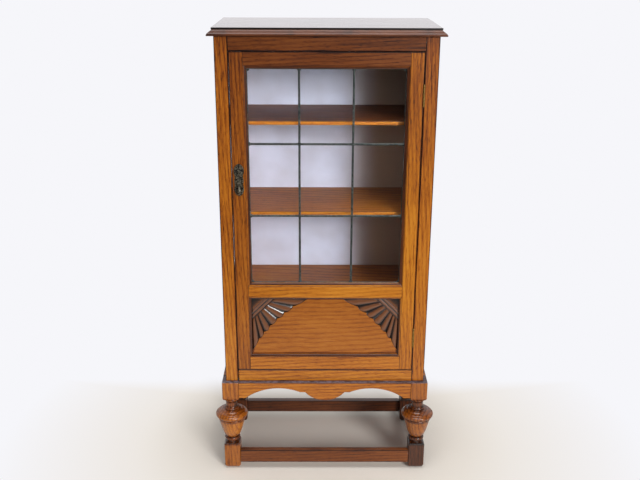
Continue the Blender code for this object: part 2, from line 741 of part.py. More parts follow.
def hinge_gain_tools(edge, inward):
    """Return cutters that let the leaves and barrels into a vertical edge."""
    tools = []
    half = HINGE_LENGTH / 2 + CLEARANCE
    bottom = edge + inward * (LEAF_THICKNESS + CLEARANCE)
    for _, level in hinge_levels():
        tools.append(sorted_box(
            "gain",
            (edge - inward * OVERRUN, CASE_FRONT - OVERRUN, level - half),
            (bottom, CASE_FRONT + LEAF_DEPTH + CLEARANCE, level + half),
        ))
        reach = HINGE_LENGTH + 2 * (PIN_TIP_HEIGHT + KNUCKLE_GAP + CLEARANCE)
        place = (HINGE_X, HINGE_Y, level)
        tools.append(cylinder("barrel_gain", place, BARREL_RADIUS + CLEARANCE, "Z", reach, BARREL_SEGMENTS))
    return tools


def make_face_frame():
    """Make the case's front frame: two stiles and two tenoned rails."""
    tenon_face = CASE_FRONT + (FRAME_THICKNESS - RAIL_TENON_THICKNESS) / 2
    tenon_heel = tenon_face + RAIL_TENON_THICKNESS
    shoulder = STILE_INNER - CLEARANCE
    tip = STILE_INNER + RAIL_TENON_LENGTH
    rails = (
        ("front_top_rail", CASE_TOP - TOP_RAIL_HEIGHT, CASE_TOP, 0.0),
        ("front_bottom_rail", CASE_BOTTOM, CASE_BOTTOM + BOTTOM_RAIL_HEIGHT, OPEN_JOINT),
    )
    for name, low, high, open_joint in rails:
        left = -shoulder + open_joint
        rail = box(name, (left, CASE_FRONT, low), (shoulder, FRAME_BACK, high), ARRIS)
        tenon = box(
            "tenon",
            (-tip + open_joint, tenon_face, low + RAIL_TENON_SHOULDER),
            (tip - CLEARANCE, tenon_heel, high - RAIL_TENON_SHOULDER),
        )
        join(rail, tenon)
        complete(rail, OAK, (0.0, CASE_FRONT, low))
    for name, side in (("front_stile_left", -1), ("front_stile_right", 1)):
        inner, outer = sorted((side * STILE_INNER, side * CASE_HALF))
        stile = box(name, (inner, CASE_FRONT, CASE_BOTTOM), (outer, FRAME_BACK, CASE_TOP), ARRIS)
        tools = []
        for _, low, high, _ in rails:
            tools.append(sorted_box(
                "mortise",
                (side * (STILE_INNER - OVERRUN), tenon_face - CLEARANCE, low + RAIL_TENON_SHOULDER - CLEARANCE),
                (side * (tip + CLEARANCE), tenon_heel + CLEARANCE, high - RAIL_TENON_SHOULDER + CLEARANCE),
            ))
        if side > 0:
            tools += hinge_gain_tools(STILE_INNER, 1)
        else:
            tools.append(bolt_box("keeper", KEEPER_CLEARANCE, BOLT_TRAVEL + DOOR_GAP))
        cut(stile, *tools)
        complete(stile, OAK, (side * CASE_HALF, CASE_FRONT, CASE_BOTTOM))


def make_top_board():
    """Make the top board, moulded on its front and two ends."""
    top = CASE_TOP + CLEARANCE + TOP_THICKNESS
    bottom = CASE_TOP + CLEARANCE
    profile = [(LIP_OVERHANG - LIP_ROUND, bottom), (LIP_OVERHANG, bottom + LIP_ROUND)]
    profile.append((LIP_OVERHANG, bottom + LIP_HEIGHT))
    low = bottom + LIP_HEIGHT
    high = top - TOP_FILLET_HEIGHT
    sweep = LIP_OVERHANG - TOP_FACE_OVERHANG
    for share in curve_steps(OGEE_STEPS):
        sway = (1 - math.cos(math.pi * share)) / 2
        profile.append((LIP_OVERHANG - TOP_QUIRK - sweep * sway, low + (high - low) * share))
    profile.append((TOP_FACE_OVERHANG, high))
    profile.append((TOP_FACE_OVERHANG, top - TOP_QUIRK))
    profile.append((TOP_FACE_OVERHANG - TOP_QUIRK, top))
    back = CASE_BACK + TOP_BACK_OVERHANG
    loops = []
    for overhang, level in profile:
        half = CASE_HALF + overhang
        front = CASE_FRONT - overhang
        loops.append([(-half, front, level), (half, front, level), (half, back, level), (-half, back, level)])
    board = loft("top_board", loops)
    complete(board, OAK_DARK, (0.0, CASE_FRONT, bottom), True)


def sticking_profile(width):
    """Return the moulded tongue's section: inset from the edge, depth."""
    points = [(-WELD, STICKING_QUIRK)]
    start = STICKING_QUIRK / 2
    for share in curve_steps(STICKING_STEPS):
        angle = math.pi / 2 * share
        inset = start + (width - start) * math.sin(angle)
        points.append((inset, STICKING_QUIRK + STICKING_FALL * (1 - math.cos(angle))))
    points.append((width, STICKING_DEPTH))
    points.append((-WELD, STICKING_DEPTH))
    return points


def lip_profile(width):
    """Return the plain back lip's section: inset from the edge, depth."""
    low = PANEL_BACK + CLEARANCE - CASE_FRONT
    return [(-WELD, low), (width, low), (width, DOOR_THICKNESS - WELD / 2), (-WELD, DOOR_THICKNESS - WELD / 2)]


def mitred_strip(side, span, profile):
    """Run a section along one side of an opening, mitred at both ends."""
    low_x, high_x, low_z, high_z = span
    loops = []
    for near_end in (True, False):
        loop = []
        for inset, depth in profile:
            hold = CLEARANCE + max(inset, 0.0) if inset > 0 else 2 * CLEARANCE
            y = CASE_FRONT + depth
            if side in ("left", "right"):
                x = low_x + inset if side == "left" else high_x - inset
                z = low_z + hold if near_end else high_z - hold
            else:
                z = low_z + inset if side == "bottom" else high_z - inset
                x = low_x + hold if near_end else high_x - hold
            loop.append((x, y, z))
        loops.append(loop)
    return loft("sticking", loops)


def door_openings():
    """Return the door's two openings: span, sticking width, has a groove."""
    glass = (-OPENING_HALF, OPENING_HALF, GLASS_BOTTOM, GLASS_TOP)
    panel = (-OPENING_HALF, OPENING_HALF, PANEL_BOTTOM, PANEL_TOP)
    return ((glass, GLASS_STICKING, False), (panel, PANEL_STICKING, True))


def groove_tool():
    """Return the slot that holds the panel's edges, as one plate."""
    deep = PANEL_GROOVE_DEPTH
    low = (-OPENING_HALF - deep, PANEL_FRONT - CLEARANCE, PANEL_BOTTOM - deep)
    high = (OPENING_HALF + deep, PANEL_BACK + CLEARANCE, PANEL_TOP + deep)
    return box("groove", low, high)


def bolt_box(name, room, reach):
    """Return a box round the lock bolt, run on towards the case by reach."""
    tip = -DOOR_HALF + CLEARANCE
    heel = tip + BOLT_LENGTH
    middle = DOOR_BACK - LOCK_DEPTH / 2
    low = (tip - reach - room, middle - BOLT_THICKNESS / 2 - room, LOCK_Z - BOLT_HEIGHT / 2 - room)
    high = (heel + room, middle + BOLT_THICKNESS / 2 + room, LOCK_Z + BOLT_HEIGHT / 2 + room)
    return box(name, low, high)


def lock_box(name, room):
    """Return the lock case's block, or its pocket when given some room."""
    overrun = OVERRUN if room else 0.0
    low = (-DOOR_HALF - overrun, DOOR_BACK - LOCK_DEPTH - room, LOCK_Z - LOCK_HEIGHT / 2 - room)
    high = (-DOOR_HALF + LOCK_WIDTH + room, DOOR_BACK + overrun, LOCK_Z + LOCK_HEIGHT / 2 + room)
    return box(name, low, high)


def keyhole_tools(length, middle_y):
    """Return cutters for a keyhole: round top and a slot below."""
    round_top = cylinder("keyhole", (LOCK_X, middle_y, LOCK_Z), KEYHOLE_RADIUS, "Y", length, BARREL_SEGMENTS)
    slot = box(
        "keyhole_slot",
        (LOCK_X - KEYHOLE_SLOT_WIDTH / 2, middle_y - length / 2, LOCK_Z - KEYHOLE_SLOT_HEIGHT),
        (LOCK_X + KEYHOLE_SLOT_WIDTH / 2, middle_y + length / 2, LOCK_Z),
    )
    return [round_top, slot]


def door_rail_spans():
    """Return each door rail's name, levels and the openings it borders."""
    return (
        ("door_top_rail", GLASS_TOP, DOOR_TOP, (("top", 0),)),
        ("door_mid_rail", PANEL_TOP, GLASS_BOTTOM, (("bottom", 0), ("top", 1))),
        ("door_bottom_rail", DOOR_BOTTOM, PANEL_BOTTOM, (("bottom", 1),)),
    )


def add_sticking(member, side, opening):
    """Run the moulded tongue, and the panel's back lip, on one edge."""
    span, width, grooved = opening
    join(member, mitred_strip(side, span, sticking_profile(width)))
    if grooved:
        join(member, mitred_strip(side, span, lip_profile(width)))


def make_door_frame():
    """Make the door's stiles and rails, tenoned and moulded in the solid."""
    openings = door_openings()
    tenon_face = PANEL_FRONT
    tenon_heel = PANEL_FRONT + DOOR_TENON_THICKNESS
    tip = OPENING_HALF + DOOR_TENON_LENGTH
    pieces = []
    for name, low, high, edges in door_rail_spans():
        shoulder = OPENING_HALF - CLEARANCE
        rail = box(name, (-shoulder, CASE_FRONT, low), (shoulder, DOOR_BACK, high))
        tenon = box(
            "tenon",
            (-tip, tenon_face, low + DOOR_TENON_SHOULDER),
            (tip, tenon_heel, high - DOOR_TENON_SHOULDER),
        )
        join(rail, tenon)
        for side, index in edges:
            add_sticking(rail, side, openings[index])
        if any(openings[index][2] for _, index in edges):
            cut(rail, groove_tool())
        pieces.append(complete(rail, OAK, (0.0, CASE_FRONT, low)))
    for name, side in (("door_stile_left", -1), ("door_stile_right", 1)):
        inner, outer = sorted((side * OPENING_HALF, side * DOOR_HALF))
        stile = box(name, (inner, CASE_FRONT, DOOR_BOTTOM), (outer, DOOR_BACK, DOOR_TOP))
        word = "left" if side < 0 else "right"
        for opening in openings:
            add_sticking(stile, word, opening)
        tools = [groove_tool()]
        for _, low, high, _ in door_rail_spans():
            floor, ceiling = low + DOOR_TENON_SHOULDER, high - DOOR_TENON_SHOULDER
            tools.append(sorted_box(
                "mortise",
                (side * (OPENING_HALF - CLEARANCE), tenon_face - CLEARANCE, floor - CLEARANCE),
                (side * (tip + CLEARANCE), tenon_heel + CLEARANCE, ceiling + CLEARANCE),
            ))
        if side > 0:
            tools += hinge_gain_tools(DOOR_HALF, -1)
        else:
            tools.append(lock_box("pocket", CLEARANCE))
            tools += keyhole_tools(DOOR_THICKNESS, CASE_FRONT + OVERRUN)
        cut(stile, *tools)
        pieces.append(complete(stile, OAK, (side * DOOR_HALF, CASE_FRONT, DOOR_BOTTOM)))
    return pieces


def fan_reach(angle):
    """Return the fan's reach from its corner at an angle below the rail."""
    power = FAN_CURVE_POWER
    low, high = 0.0, math.hypot(FAN_WIDTH, FAN_HEIGHT)
    for _ in range(REACH_HALVINGS):
        middle = (low + high) / 2
        across = max(1 - middle * math.cos(angle) / FAN_WIDTH, 0.0)
        down = max(1 - middle * math.sin(angle) / FAN_HEIGHT, 0.0)
        if across ** power + down ** power > 1:
            low = middle
        else:
            high = middle
    return low


def fan_corner():
    """Return how far out and how high the corner under each fan lies."""
    corner_x = OPENING_HALF - PANEL_STICKING + FAN_LAP
    corner_z = PANEL_TOP - PANEL_STICKING + FAN_LAP
    return corner_x, corner_z


def fan_cutter(side):
    """Return the waste of one carved fan: round rays between V grooves."""
    corner_x, corner_z = fan_corner()
    columns = []
    for start, stop in zip(FAN_RAY_SHARES, FAN_RAY_SHARES[1:]):
        for step in range(FAN_STEPS_ACROSS):
            columns.append((start, stop, step / FAN_STEPS_ACROSS))
    columns.append((FAN_RAY_SHARES[-2], FAN_RAY_SHARES[-1], 1.0))
    lids, floors = [], []
    for start, stop, across in columns:
        angle = math.pi / 2 * (start + (stop - start) * across)
        sunk = (2 * across - 1) ** 2
        reach = fan_reach(angle) * (1 - FAN_SCALLOP_SHARE * sunk)
        near = HUB_DISTANCE / math.cos(angle - math.pi / 4)
        lid, floor = [], []
        for share in FAN_LENGTH_SHARES:
            distance = near + (reach - near) * share
            crest = FAN_CREST_DEPTH + (FAN_END_DEPTH - FAN_CREST_DEPTH) * share
            groove = FAN_GROOVE_DEPTH * (FAN_START_SHARE + (1 - FAN_START_SHARE) * share)
            depth = crest + (groove - crest) * sunk if share < 1 else -FAN_EXIT_RISE
            x = side * (corner_x - distance * math.cos(angle))
            z = corner_z - distance * math.sin(angle)
            lid.append((x, PANEL_FRONT - OVERRUN, z))
            floor.append((x, PANEL_FRONT + depth, z))
        lids.append(lid)
        floors.append(floor)
    return sheet_solid("fan", lids, floors)


def sheet_solid(name, crowns, roots):
    """Close two grids of points, one over the other, into a solid."""
    bm = bmesh.new()
    upper = [[bm.verts.new(point) for point in line] for line in crowns]
    lower = [[bm.verts.new(point) for point in line] for line in roots]
    rows, columns = len(upper), len(upper[0])
    for grid in (upper, lower):
        for i in range(rows - 1):
            for j in range(columns - 1):
                bm.faces.new((grid[i][j], grid[i + 1][j], grid[i + 1][j + 1], grid[i][j + 1]))
    rim = [(i, 0) for i in range(rows)] + [(rows - 1, j) for j in range(1, columns)]
    rim += [(i, columns - 1) for i in range(rows - 2, -1, -1)] + [(0, j) for j in range(columns - 2, 0, -1)]
    for (i, j), (k, m) in zip(rim, rim[1:] + rim[:1]):
        bm.faces.new((upper[i][j], upper[k][m], lower[k][m], lower[i][j]))
    return object_from(bm, name)


def hub_cutters(side):
    """Return the round grooves that leave two ridges across a fan's hub."""
    corner_x, corner_z = fan_corner()
    lift = HUB_GROOVE_RADIUS - HUB_GROOVE_DEPTH
    cutters = []
    for index in range(HUB_GROOVES):
        away = HUB_DISTANCE - index * HUB_RIDGE_PITCH
        middle = Vector((
            side * (corner_x - away * math.cos(math.pi / 4)),
            PANEL_FRONT - lift,
            corner_z - away * math.sin(math.pi / 4),
        ))
        tilt = Matrix.Rotation(-side * math.pi / 4, 4, "Y")
        bm = bmesh.new()
        bmesh.ops.create_cone(
            bm, cap_ends=True, segments=HUB_GROOVE_SEGMENTS, radius1=HUB_GROOVE_RADIUS,
            radius2=HUB_GROOVE_RADIUS, depth=2 * away, matrix=Matrix.Translation(middle) @ tilt,
        )
        cutters.append(object_from(bm, "hub_groove"))
    return cutters


def make_door_panel():
    """Make the lower panel with a fan carved into each upper corner."""
    reach = PANEL_GROOVE_DEPTH - PANEL_EDGE_GAP
    low = (-OPENING_HALF - reach, PANEL_FRONT, PANEL_BOTTOM - reach)
    high = (OPENING_HALF + reach, PANEL_BACK, PANEL_TOP + reach)
    panel = box("door_panel", low, high)
    for side in (-1, 1):
        cut(panel, fan_cutter(side), *hub_cutters(side))
    return complete(panel, OAK, (0.0, PANEL_FRONT, PANEL_BOTTOM))


def pane_spans():
    """Return the edges of the pane columns and rows, in light order."""
    half = OPENING_HALF - GLASS_STICKING
    width = 2 * half
    middle = width * MIDDLE_PANE_SHARE
    columns = (-half, -middle / 2, middle / 2, half)
    bottom = GLASS_BOTTOM + GLASS_STICKING
    height = GLASS_TOP - GLASS_STICKING - bottom
    rows = [bottom]
    for share in reversed(PANE_ROW_SHARES):
        rows.append(rows[-1] + height * share)
    return columns, rows


def make_leaded_light():
    """Make the lead cames and the nine panes held in their channels."""
    edge = OPENING_HALF - CLEARANCE
    front = CASE_FRONT + STICKING_DEPTH + CLEARANCE
    back = front + CAME_THICKNESS
    low_z, high_z = GLASS_BOTTOM + CLEARANCE, GLASS_TOP - CLEARANCE
    cames = box("lead_cames", (-edge, front, low_z), (edge, back, high_z))
    columns, rows = pane_spans()
    middle = (front + back) / 2
    slot = GLASS_THICKNESS / 2 + GLASS_EDGE_GAP
    panes = []
    border = CAME_EDGE_FACE - GLASS_STICKING + CLEARANCE
    for row in range(PANE_ROWS):
        for column in range(PANE_COLUMNS):
            left = columns[column] + (border if column == 0 else CAME_FACE / 2)
            right = columns[column + 1] - (border if column == PANE_COLUMNS - 1 else CAME_FACE / 2)
            low = rows[row] + (border if row == 0 else CAME_FACE / 2)
            high = rows[row + 1] - (border if row == PANE_ROWS - 1 else CAME_FACE / 2)
            cut(
                cames,
                box("light", (left, front - OVERRUN, low), (right, back + OVERRUN, high)),
                box(
                    "channel",
                    (left - CAME_CHANNEL, middle - slot, low - CAME_CHANNEL),
                    (right + CAME_CHANNEL, middle + slot, high + CAME_CHANNEL),
                ),
            )
            hold = CAME_CHANNEL - GLASS_EDGE_GAP
            pane = box(
                f"pane_{PANE_ROWS - row}_{column + 1}",
                (left - hold, middle - GLASS_THICKNESS / 2, low - hold),
                (right + hold, middle + GLASS_THICKNESS / 2, high + hold),
            )
            panes.append(complete(pane, CLEAR_GLASS, ((left + right) / 2, middle, low)))
    complete(cames, LEAD, (0.0, front, low_z))
    return [cames] + panes


def make_glazing_beads():
    """Make the four mitred beads that hold the light in from the back."""
    front = STICKING_DEPTH + 2 * CLEARANCE + CAME_THICKNESS
    section = [
        (CLEARANCE, front), (BEAD_WIDTH, front),
        (BEAD_WIDTH, DOOR_THICKNESS - ARRIS), (BEAD_WIDTH - ARRIS, DOOR_THICKNESS), (CLEARANCE, DOOR_THICKNESS),
    ]
    span = door_openings()[0][0]
    pieces = []
    for side in ("top", "bottom", "left", "right"):
        strip = mitred_strip(side, span, section)
        strip.name = f"glazing_bead_{side}"
        pieces.append(complete(strip, OAK, (0.0, CASE_FRONT + front, GLASS_BOTTOM)))
    return pieces


def knuckle_spans(level):
    """Return the low and high level of each knuckle of one hinge."""
    pitch = HINGE_LENGTH / KNUCKLES
    bottom = level - HINGE_LENGTH / 2
    return [
        (bottom + i * pitch + KNUCKLE_GAP / 2, bottom + (i + 1) * pitch - KNUCKLE_GAP / 2)
        for i in range(KNUCKLES)
    ]


def make_leaf(name, level, edge, inward, odd):
    """Make one hinge leaf: a plate let into its edge, with its knuckles."""
    near, far = sorted((edge, edge + inward * LEAF_THICKNESS))
    plate_front = HINGE_Y + BARREL_RADIUS + CLEARANCE
    plate_back = CASE_FRONT + LEAF_DEPTH
    half = HINGE_LENGTH / 2
    leaf = box(name, (near, plate_front, level - half), (far, plate_back, level + half))
    knuckles = [span for i, span in enumerate(knuckle_spans(level)) if (i % 2 == 0) == odd]
    for low, high in knuckles:
        web = box("web", (near, HINGE_Y, low), (far, plate_front + WELD, high))
        barrel = cylinder(
            "barrel", (HINGE_X, HINGE_Y, (low + high) / 2), BARREL_RADIUS, "Z", high - low, BARREL_SEGMENTS,
        )
        join(leaf, join(barrel, web))
    bore = cylinder(
        "bore", (HINGE_X, HINGE_Y, level), PIN_RADIUS + PIN_CLEARANCE, "Z",
        HINGE_LENGTH + OVERRUN, BARREL_SEGMENTS,
    )
    cut(leaf, bore)
    return complete(leaf, BRASS, (HINGE_X, HINGE_Y, level), True)


def make_pin(name, level):
    """Make one hinge pin with its two button tips."""
    half = HINGE_LENGTH / 2 + KNUCKLE_GAP
    tip_radius = BARREL_RADIUS * PIN_TIP_SHARE
    tip_rise = PIN_TIP_HEIGHT * PIN_TIP_SHARE
    upper = (
        (PIN_RADIUS, half), (BARREL_RADIUS, half), (BARREL_RADIUS, half + tip_rise),
        (tip_radius, half + PIN_TIP_HEIGHT),
    )
    profile = [(radius, -height) for radius, height in reversed(upper)] + list(upper)
    loops = []
    for radius, height in profile:
        ring = []
        for i in range(BARREL_SEGMENTS):
            angle = 2 * math.pi * i / BARREL_SEGMENTS
            x = HINGE_X + radius * math.cos(angle)
            ring.append((x, HINGE_Y + radius * math.sin(angle), level + height))
        loops.append(ring)
    return complete(loft(name, loops), BRASS, (HINGE_X, HINGE_Y, level), True)


def make_hinges():
    """Make both butt hinges and return the leaves that move with the door."""
    moving = []
    for name, level in hinge_levels():
        make_leaf(f"{name}_case_leaf", level, STILE_INNER, 1, True)
        moving.append(make_leaf(f"{name}_door_leaf", level, DOOR_HALF, -1, False))
        make_pin(f"{name}_pin", level)
    return moving


def smooth_outline(knots, steps):
    """Round an open line of knots with a Catmull-Rom curve."""
    points = []
    last = len(knots) - 1
    for i in range(last):
        before, start = knots[max(i - 1, 0)], knots[i]
        stop, after = knots[i + 1], knots[min(i + 2, last)]
        for step in range(steps):
            t = step / steps
            points.append(tuple(
                ((2 * s) + (e - b) * t + (2 * b - 5 * s + 4 * e - a) * t ** 2
                 + (3 * s - b - 3 * e + a) * t ** 3) / 2
                for b, s, e, a in zip(before, start, stop, after)
            ))
    points.append(knots[-1])
    return points


def make_escutcheon():
    """Make the pierced key plate with the lugs of its drop pull."""
    low = LOCK_Z - PLATE_CENTRE_DROP - PLATE_HEIGHT / 2
    back = CASE_FRONT - CLEARANCE
    front = back - PLATE_THICKNESS
    knots = [(PLATE_HALF_WIDTH * a, low + PLATE_HEIGHT * b) for a, b in PLATE_OUTLINE_SHARES]
    right = smooth_outline(knots, PLATE_CURVE_STEPS)
    outline = [(LOCK_X + x, z) for x, z in right] + [(LOCK_X - x, z) for x, z in reversed(right[1:-1])]
    plate = prism("escutcheon", outline, "Y", front, back)
    middle = (front + back) / 2
    tools = keyhole_tools(PLATE_THICKNESS + 2 * OVERRUN, middle)
    for across, up, radius in PLATE_HOLES_SHARES:
        for side in ((-1, 1) if across else (1,)):
            place = (LOCK_X + side * PLATE_HALF_WIDTH * across, middle, low + PLATE_HEIGHT * up)
            tools.append(cylinder(
                "piercing", place, PLATE_HALF_WIDTH * radius, "Y", PLATE_THICKNESS + 2 * OVERRUN,
                PLATE_HOLE_SEGMENTS,
            ))
    cut(plate, *tools)
    pivot_y = front - PULL_PIVOT_PROUD
    pivot_z = LOCK_Z - PULL_PIVOT_DROP
    for side in (-1, 1):
        centre_x = LOCK_X + side * (LUG_GAP + LUG_THICKNESS) / 2
        near, far = centre_x - LUG_THICKNESS / 2, centre_x + LUG_THICKNESS / 2
        lug = cylinder("lug", (centre_x, pivot_y, pivot_z), LUG_RADIUS, "X", LUG_THICKNESS, BARREL_SEGMENTS)
        foot = box("lug_foot", (near, pivot_y, pivot_z - LUG_RADIUS), (far, front + WELD, pivot_z + LUG_RADIUS))
        join(plate, join(foot, lug))
    bore = cylinder(
        "pivot_bore", (LOCK_X, pivot_y, pivot_z), TRUNNION_RADIUS + PIN_CLEARANCE, "X",
        LUG_GAP + 2 * LUG_THICKNESS + OVERRUN, BARREL_SEGMENTS,
    )
    cut(plate, bore)
    return complete(plate, BRONZE, (LOCK_X, back, LOCK_Z), True)


def make_drop_pull():
    """Make the drop pull: an eye, its trunnions and a flattened drop."""
    front = CASE_FRONT - CLEARANCE - PLATE_THICKNESS
    place = Vector((LOCK_X, front - PULL_PIVOT_PROUD, LOCK_Z - PULL_PIVOT_DROP))
    loops = []
    for radius_share, drop_share in PULL_SHAPE_SHARES:
        ring = []
        for i in range(PULL_SEGMENTS):
            angle = 2 * math.pi * i / PULL_SEGMENTS
            radius = PULL_RADIUS * radius_share
            ring.append((
                place.x + radius * math.cos(angle),
                place.y + radius * PULL_FLATNESS_SHARE * math.sin(angle),
                place.z - PULL_LENGTH * drop_share,
            ))
        loops.append(ring)
    pull = loft("drop_pull", loops)
    eye_width = LUG_GAP - 2 * CLEARANCE
    eye = cylinder("eye", place, PULL_EYE_RADIUS, "X", eye_width, BARREL_SEGMENTS)
    trunnion = cylinder(
        "trunnion", place, TRUNNION_RADIUS, "X", LUG_GAP + 2 * LUG_THICKNESS, BARREL_SEGMENTS,
    )
    join(pull, join(eye, trunnion))
    complete(pull, BRONZE, tuple(place), True)
    return pull, place


def make_lock():
    """Make the lock case with its bolt channel, and the bolt."""
    case = lock_box("lock_case", 0.0)
    cut(case, bolt_box("channel", CLEARANCE, OVERRUN))
    complete(case, STEEL, (LOCK_X, DOOR_BACK, LOCK_Z))
    bolt = bolt_box("lock_bolt", 0.0, 0.0)
    complete(bolt, BRASS, (-DOOR_HALF + CLEARANCE, DOOR_BACK - LOCK_DEPTH / 2, LOCK_Z))
    return case, bolt


def build():
    """Build the whole bookcase."""
    clear_scene()
    for end_name, end in (("front", -1), ("back", 1)):
        for side_name, side in (("left", -1), ("right", 1)):
            make_leg(f"leg_{end_name}_{side_name}", side, end)
    make_aprons()
    make_stretchers()
    make_case_sides()
    make_boards_between()
    make_face_frame()
    make_top_board()
    door = make_door_frame()
    door.append(make_door_panel())
    door += make_leaded_light()
    door += make_glazing_beads()
    door += make_hinges()
    door.append(make_escutcheon())
    case, bolt = make_lock()
    door += [case, bolt]
    pivot("door_axis", (HINGE_X, HINGE_Y, DOOR_BOTTOM), door)
    pull, place = make_drop_pull()
    pivot("pull_axis", place, [pull])


build()
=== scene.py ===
"""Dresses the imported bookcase: varnished oak, leaded glass, carving and metalwork."""

import logging
import math
from dataclasses import dataclass, field, replace
from enum import Enum
from typing import Callable, Optional, Sequence

import bpy
from mathutils import Euler, Matrix, Vector


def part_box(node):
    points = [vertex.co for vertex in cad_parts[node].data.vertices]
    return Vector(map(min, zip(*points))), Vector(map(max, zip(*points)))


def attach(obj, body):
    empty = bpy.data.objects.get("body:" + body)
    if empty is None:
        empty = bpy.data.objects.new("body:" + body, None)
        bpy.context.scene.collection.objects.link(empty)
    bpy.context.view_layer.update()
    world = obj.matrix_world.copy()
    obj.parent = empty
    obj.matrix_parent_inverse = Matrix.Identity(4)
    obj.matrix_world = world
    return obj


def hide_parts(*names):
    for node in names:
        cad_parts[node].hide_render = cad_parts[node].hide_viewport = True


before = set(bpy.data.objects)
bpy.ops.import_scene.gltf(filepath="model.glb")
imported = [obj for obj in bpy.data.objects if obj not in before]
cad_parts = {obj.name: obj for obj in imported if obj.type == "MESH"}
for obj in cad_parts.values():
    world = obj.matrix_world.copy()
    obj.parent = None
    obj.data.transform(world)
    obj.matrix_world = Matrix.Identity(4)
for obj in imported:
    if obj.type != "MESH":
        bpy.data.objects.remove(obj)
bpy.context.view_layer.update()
log = logging.getLogger("bookcase")

MM = 0.001
TINY = 1e-6
# The turns between the Z axis and each axis, for rods and for the grain.
TURNS = {"X": (0.0, math.pi / 2, 0.0), "Y": (math.pi / 2, 0.0, 0.0), "Z": (0.0, 0.0, 0.0)}
Pair = tuple[float, float]
Socket = bpy.types.NodeSocket
EdgeTest = Callable[[Vector, Vector], bool]


class Tone(Enum):
    """Colours of one stained oak, each from the pores to the palest wood."""

    AMBER = ("#341505", "#7F3E0C", "#AF6618", "#C98429")
    HONEY = ("#3C1A07", "#88460F", "#B36B17", "#CC8729")
    BROWN = ("#2C1205", "#6E350D", "#9D5814", "#B57326")
    DEEP = ("#180904", "#472009", "#6C3610", "#864C1D")
    UMBER = ("#100704", "#321709", "#50260E", "#693818")


class Body(Enum):
    """The rigid bodies that the visual pieces ride on."""

    CASE = "case"
    DOOR = "door"
    PULL = "pull"


def linear(code: str) -> tuple[float, float, float, float]:
    """Turn an sRGB colour, as #RRGGBB, into linear light with an alpha of one."""
    parts = [int(code[i : i + 2], 16) / 255 for i in (1, 3, 5)]
    light = [c / 12.92 if c <= 0.04045 else ((c + 0.055) / 1.055) ** 2.4 for c in parts]
    return (light[0], light[1], light[2], 1.0)


def quarter_round(steps: int) -> list[Pair]:
    """Return 1 - cos and 1 - sin at even steps of a quarter turn."""
    turns = [math.pi / 2 * i / steps for i in range(steps + 1)]
    return [(1 - math.cos(turn), 1 - math.sin(turn)) for turn in turns]


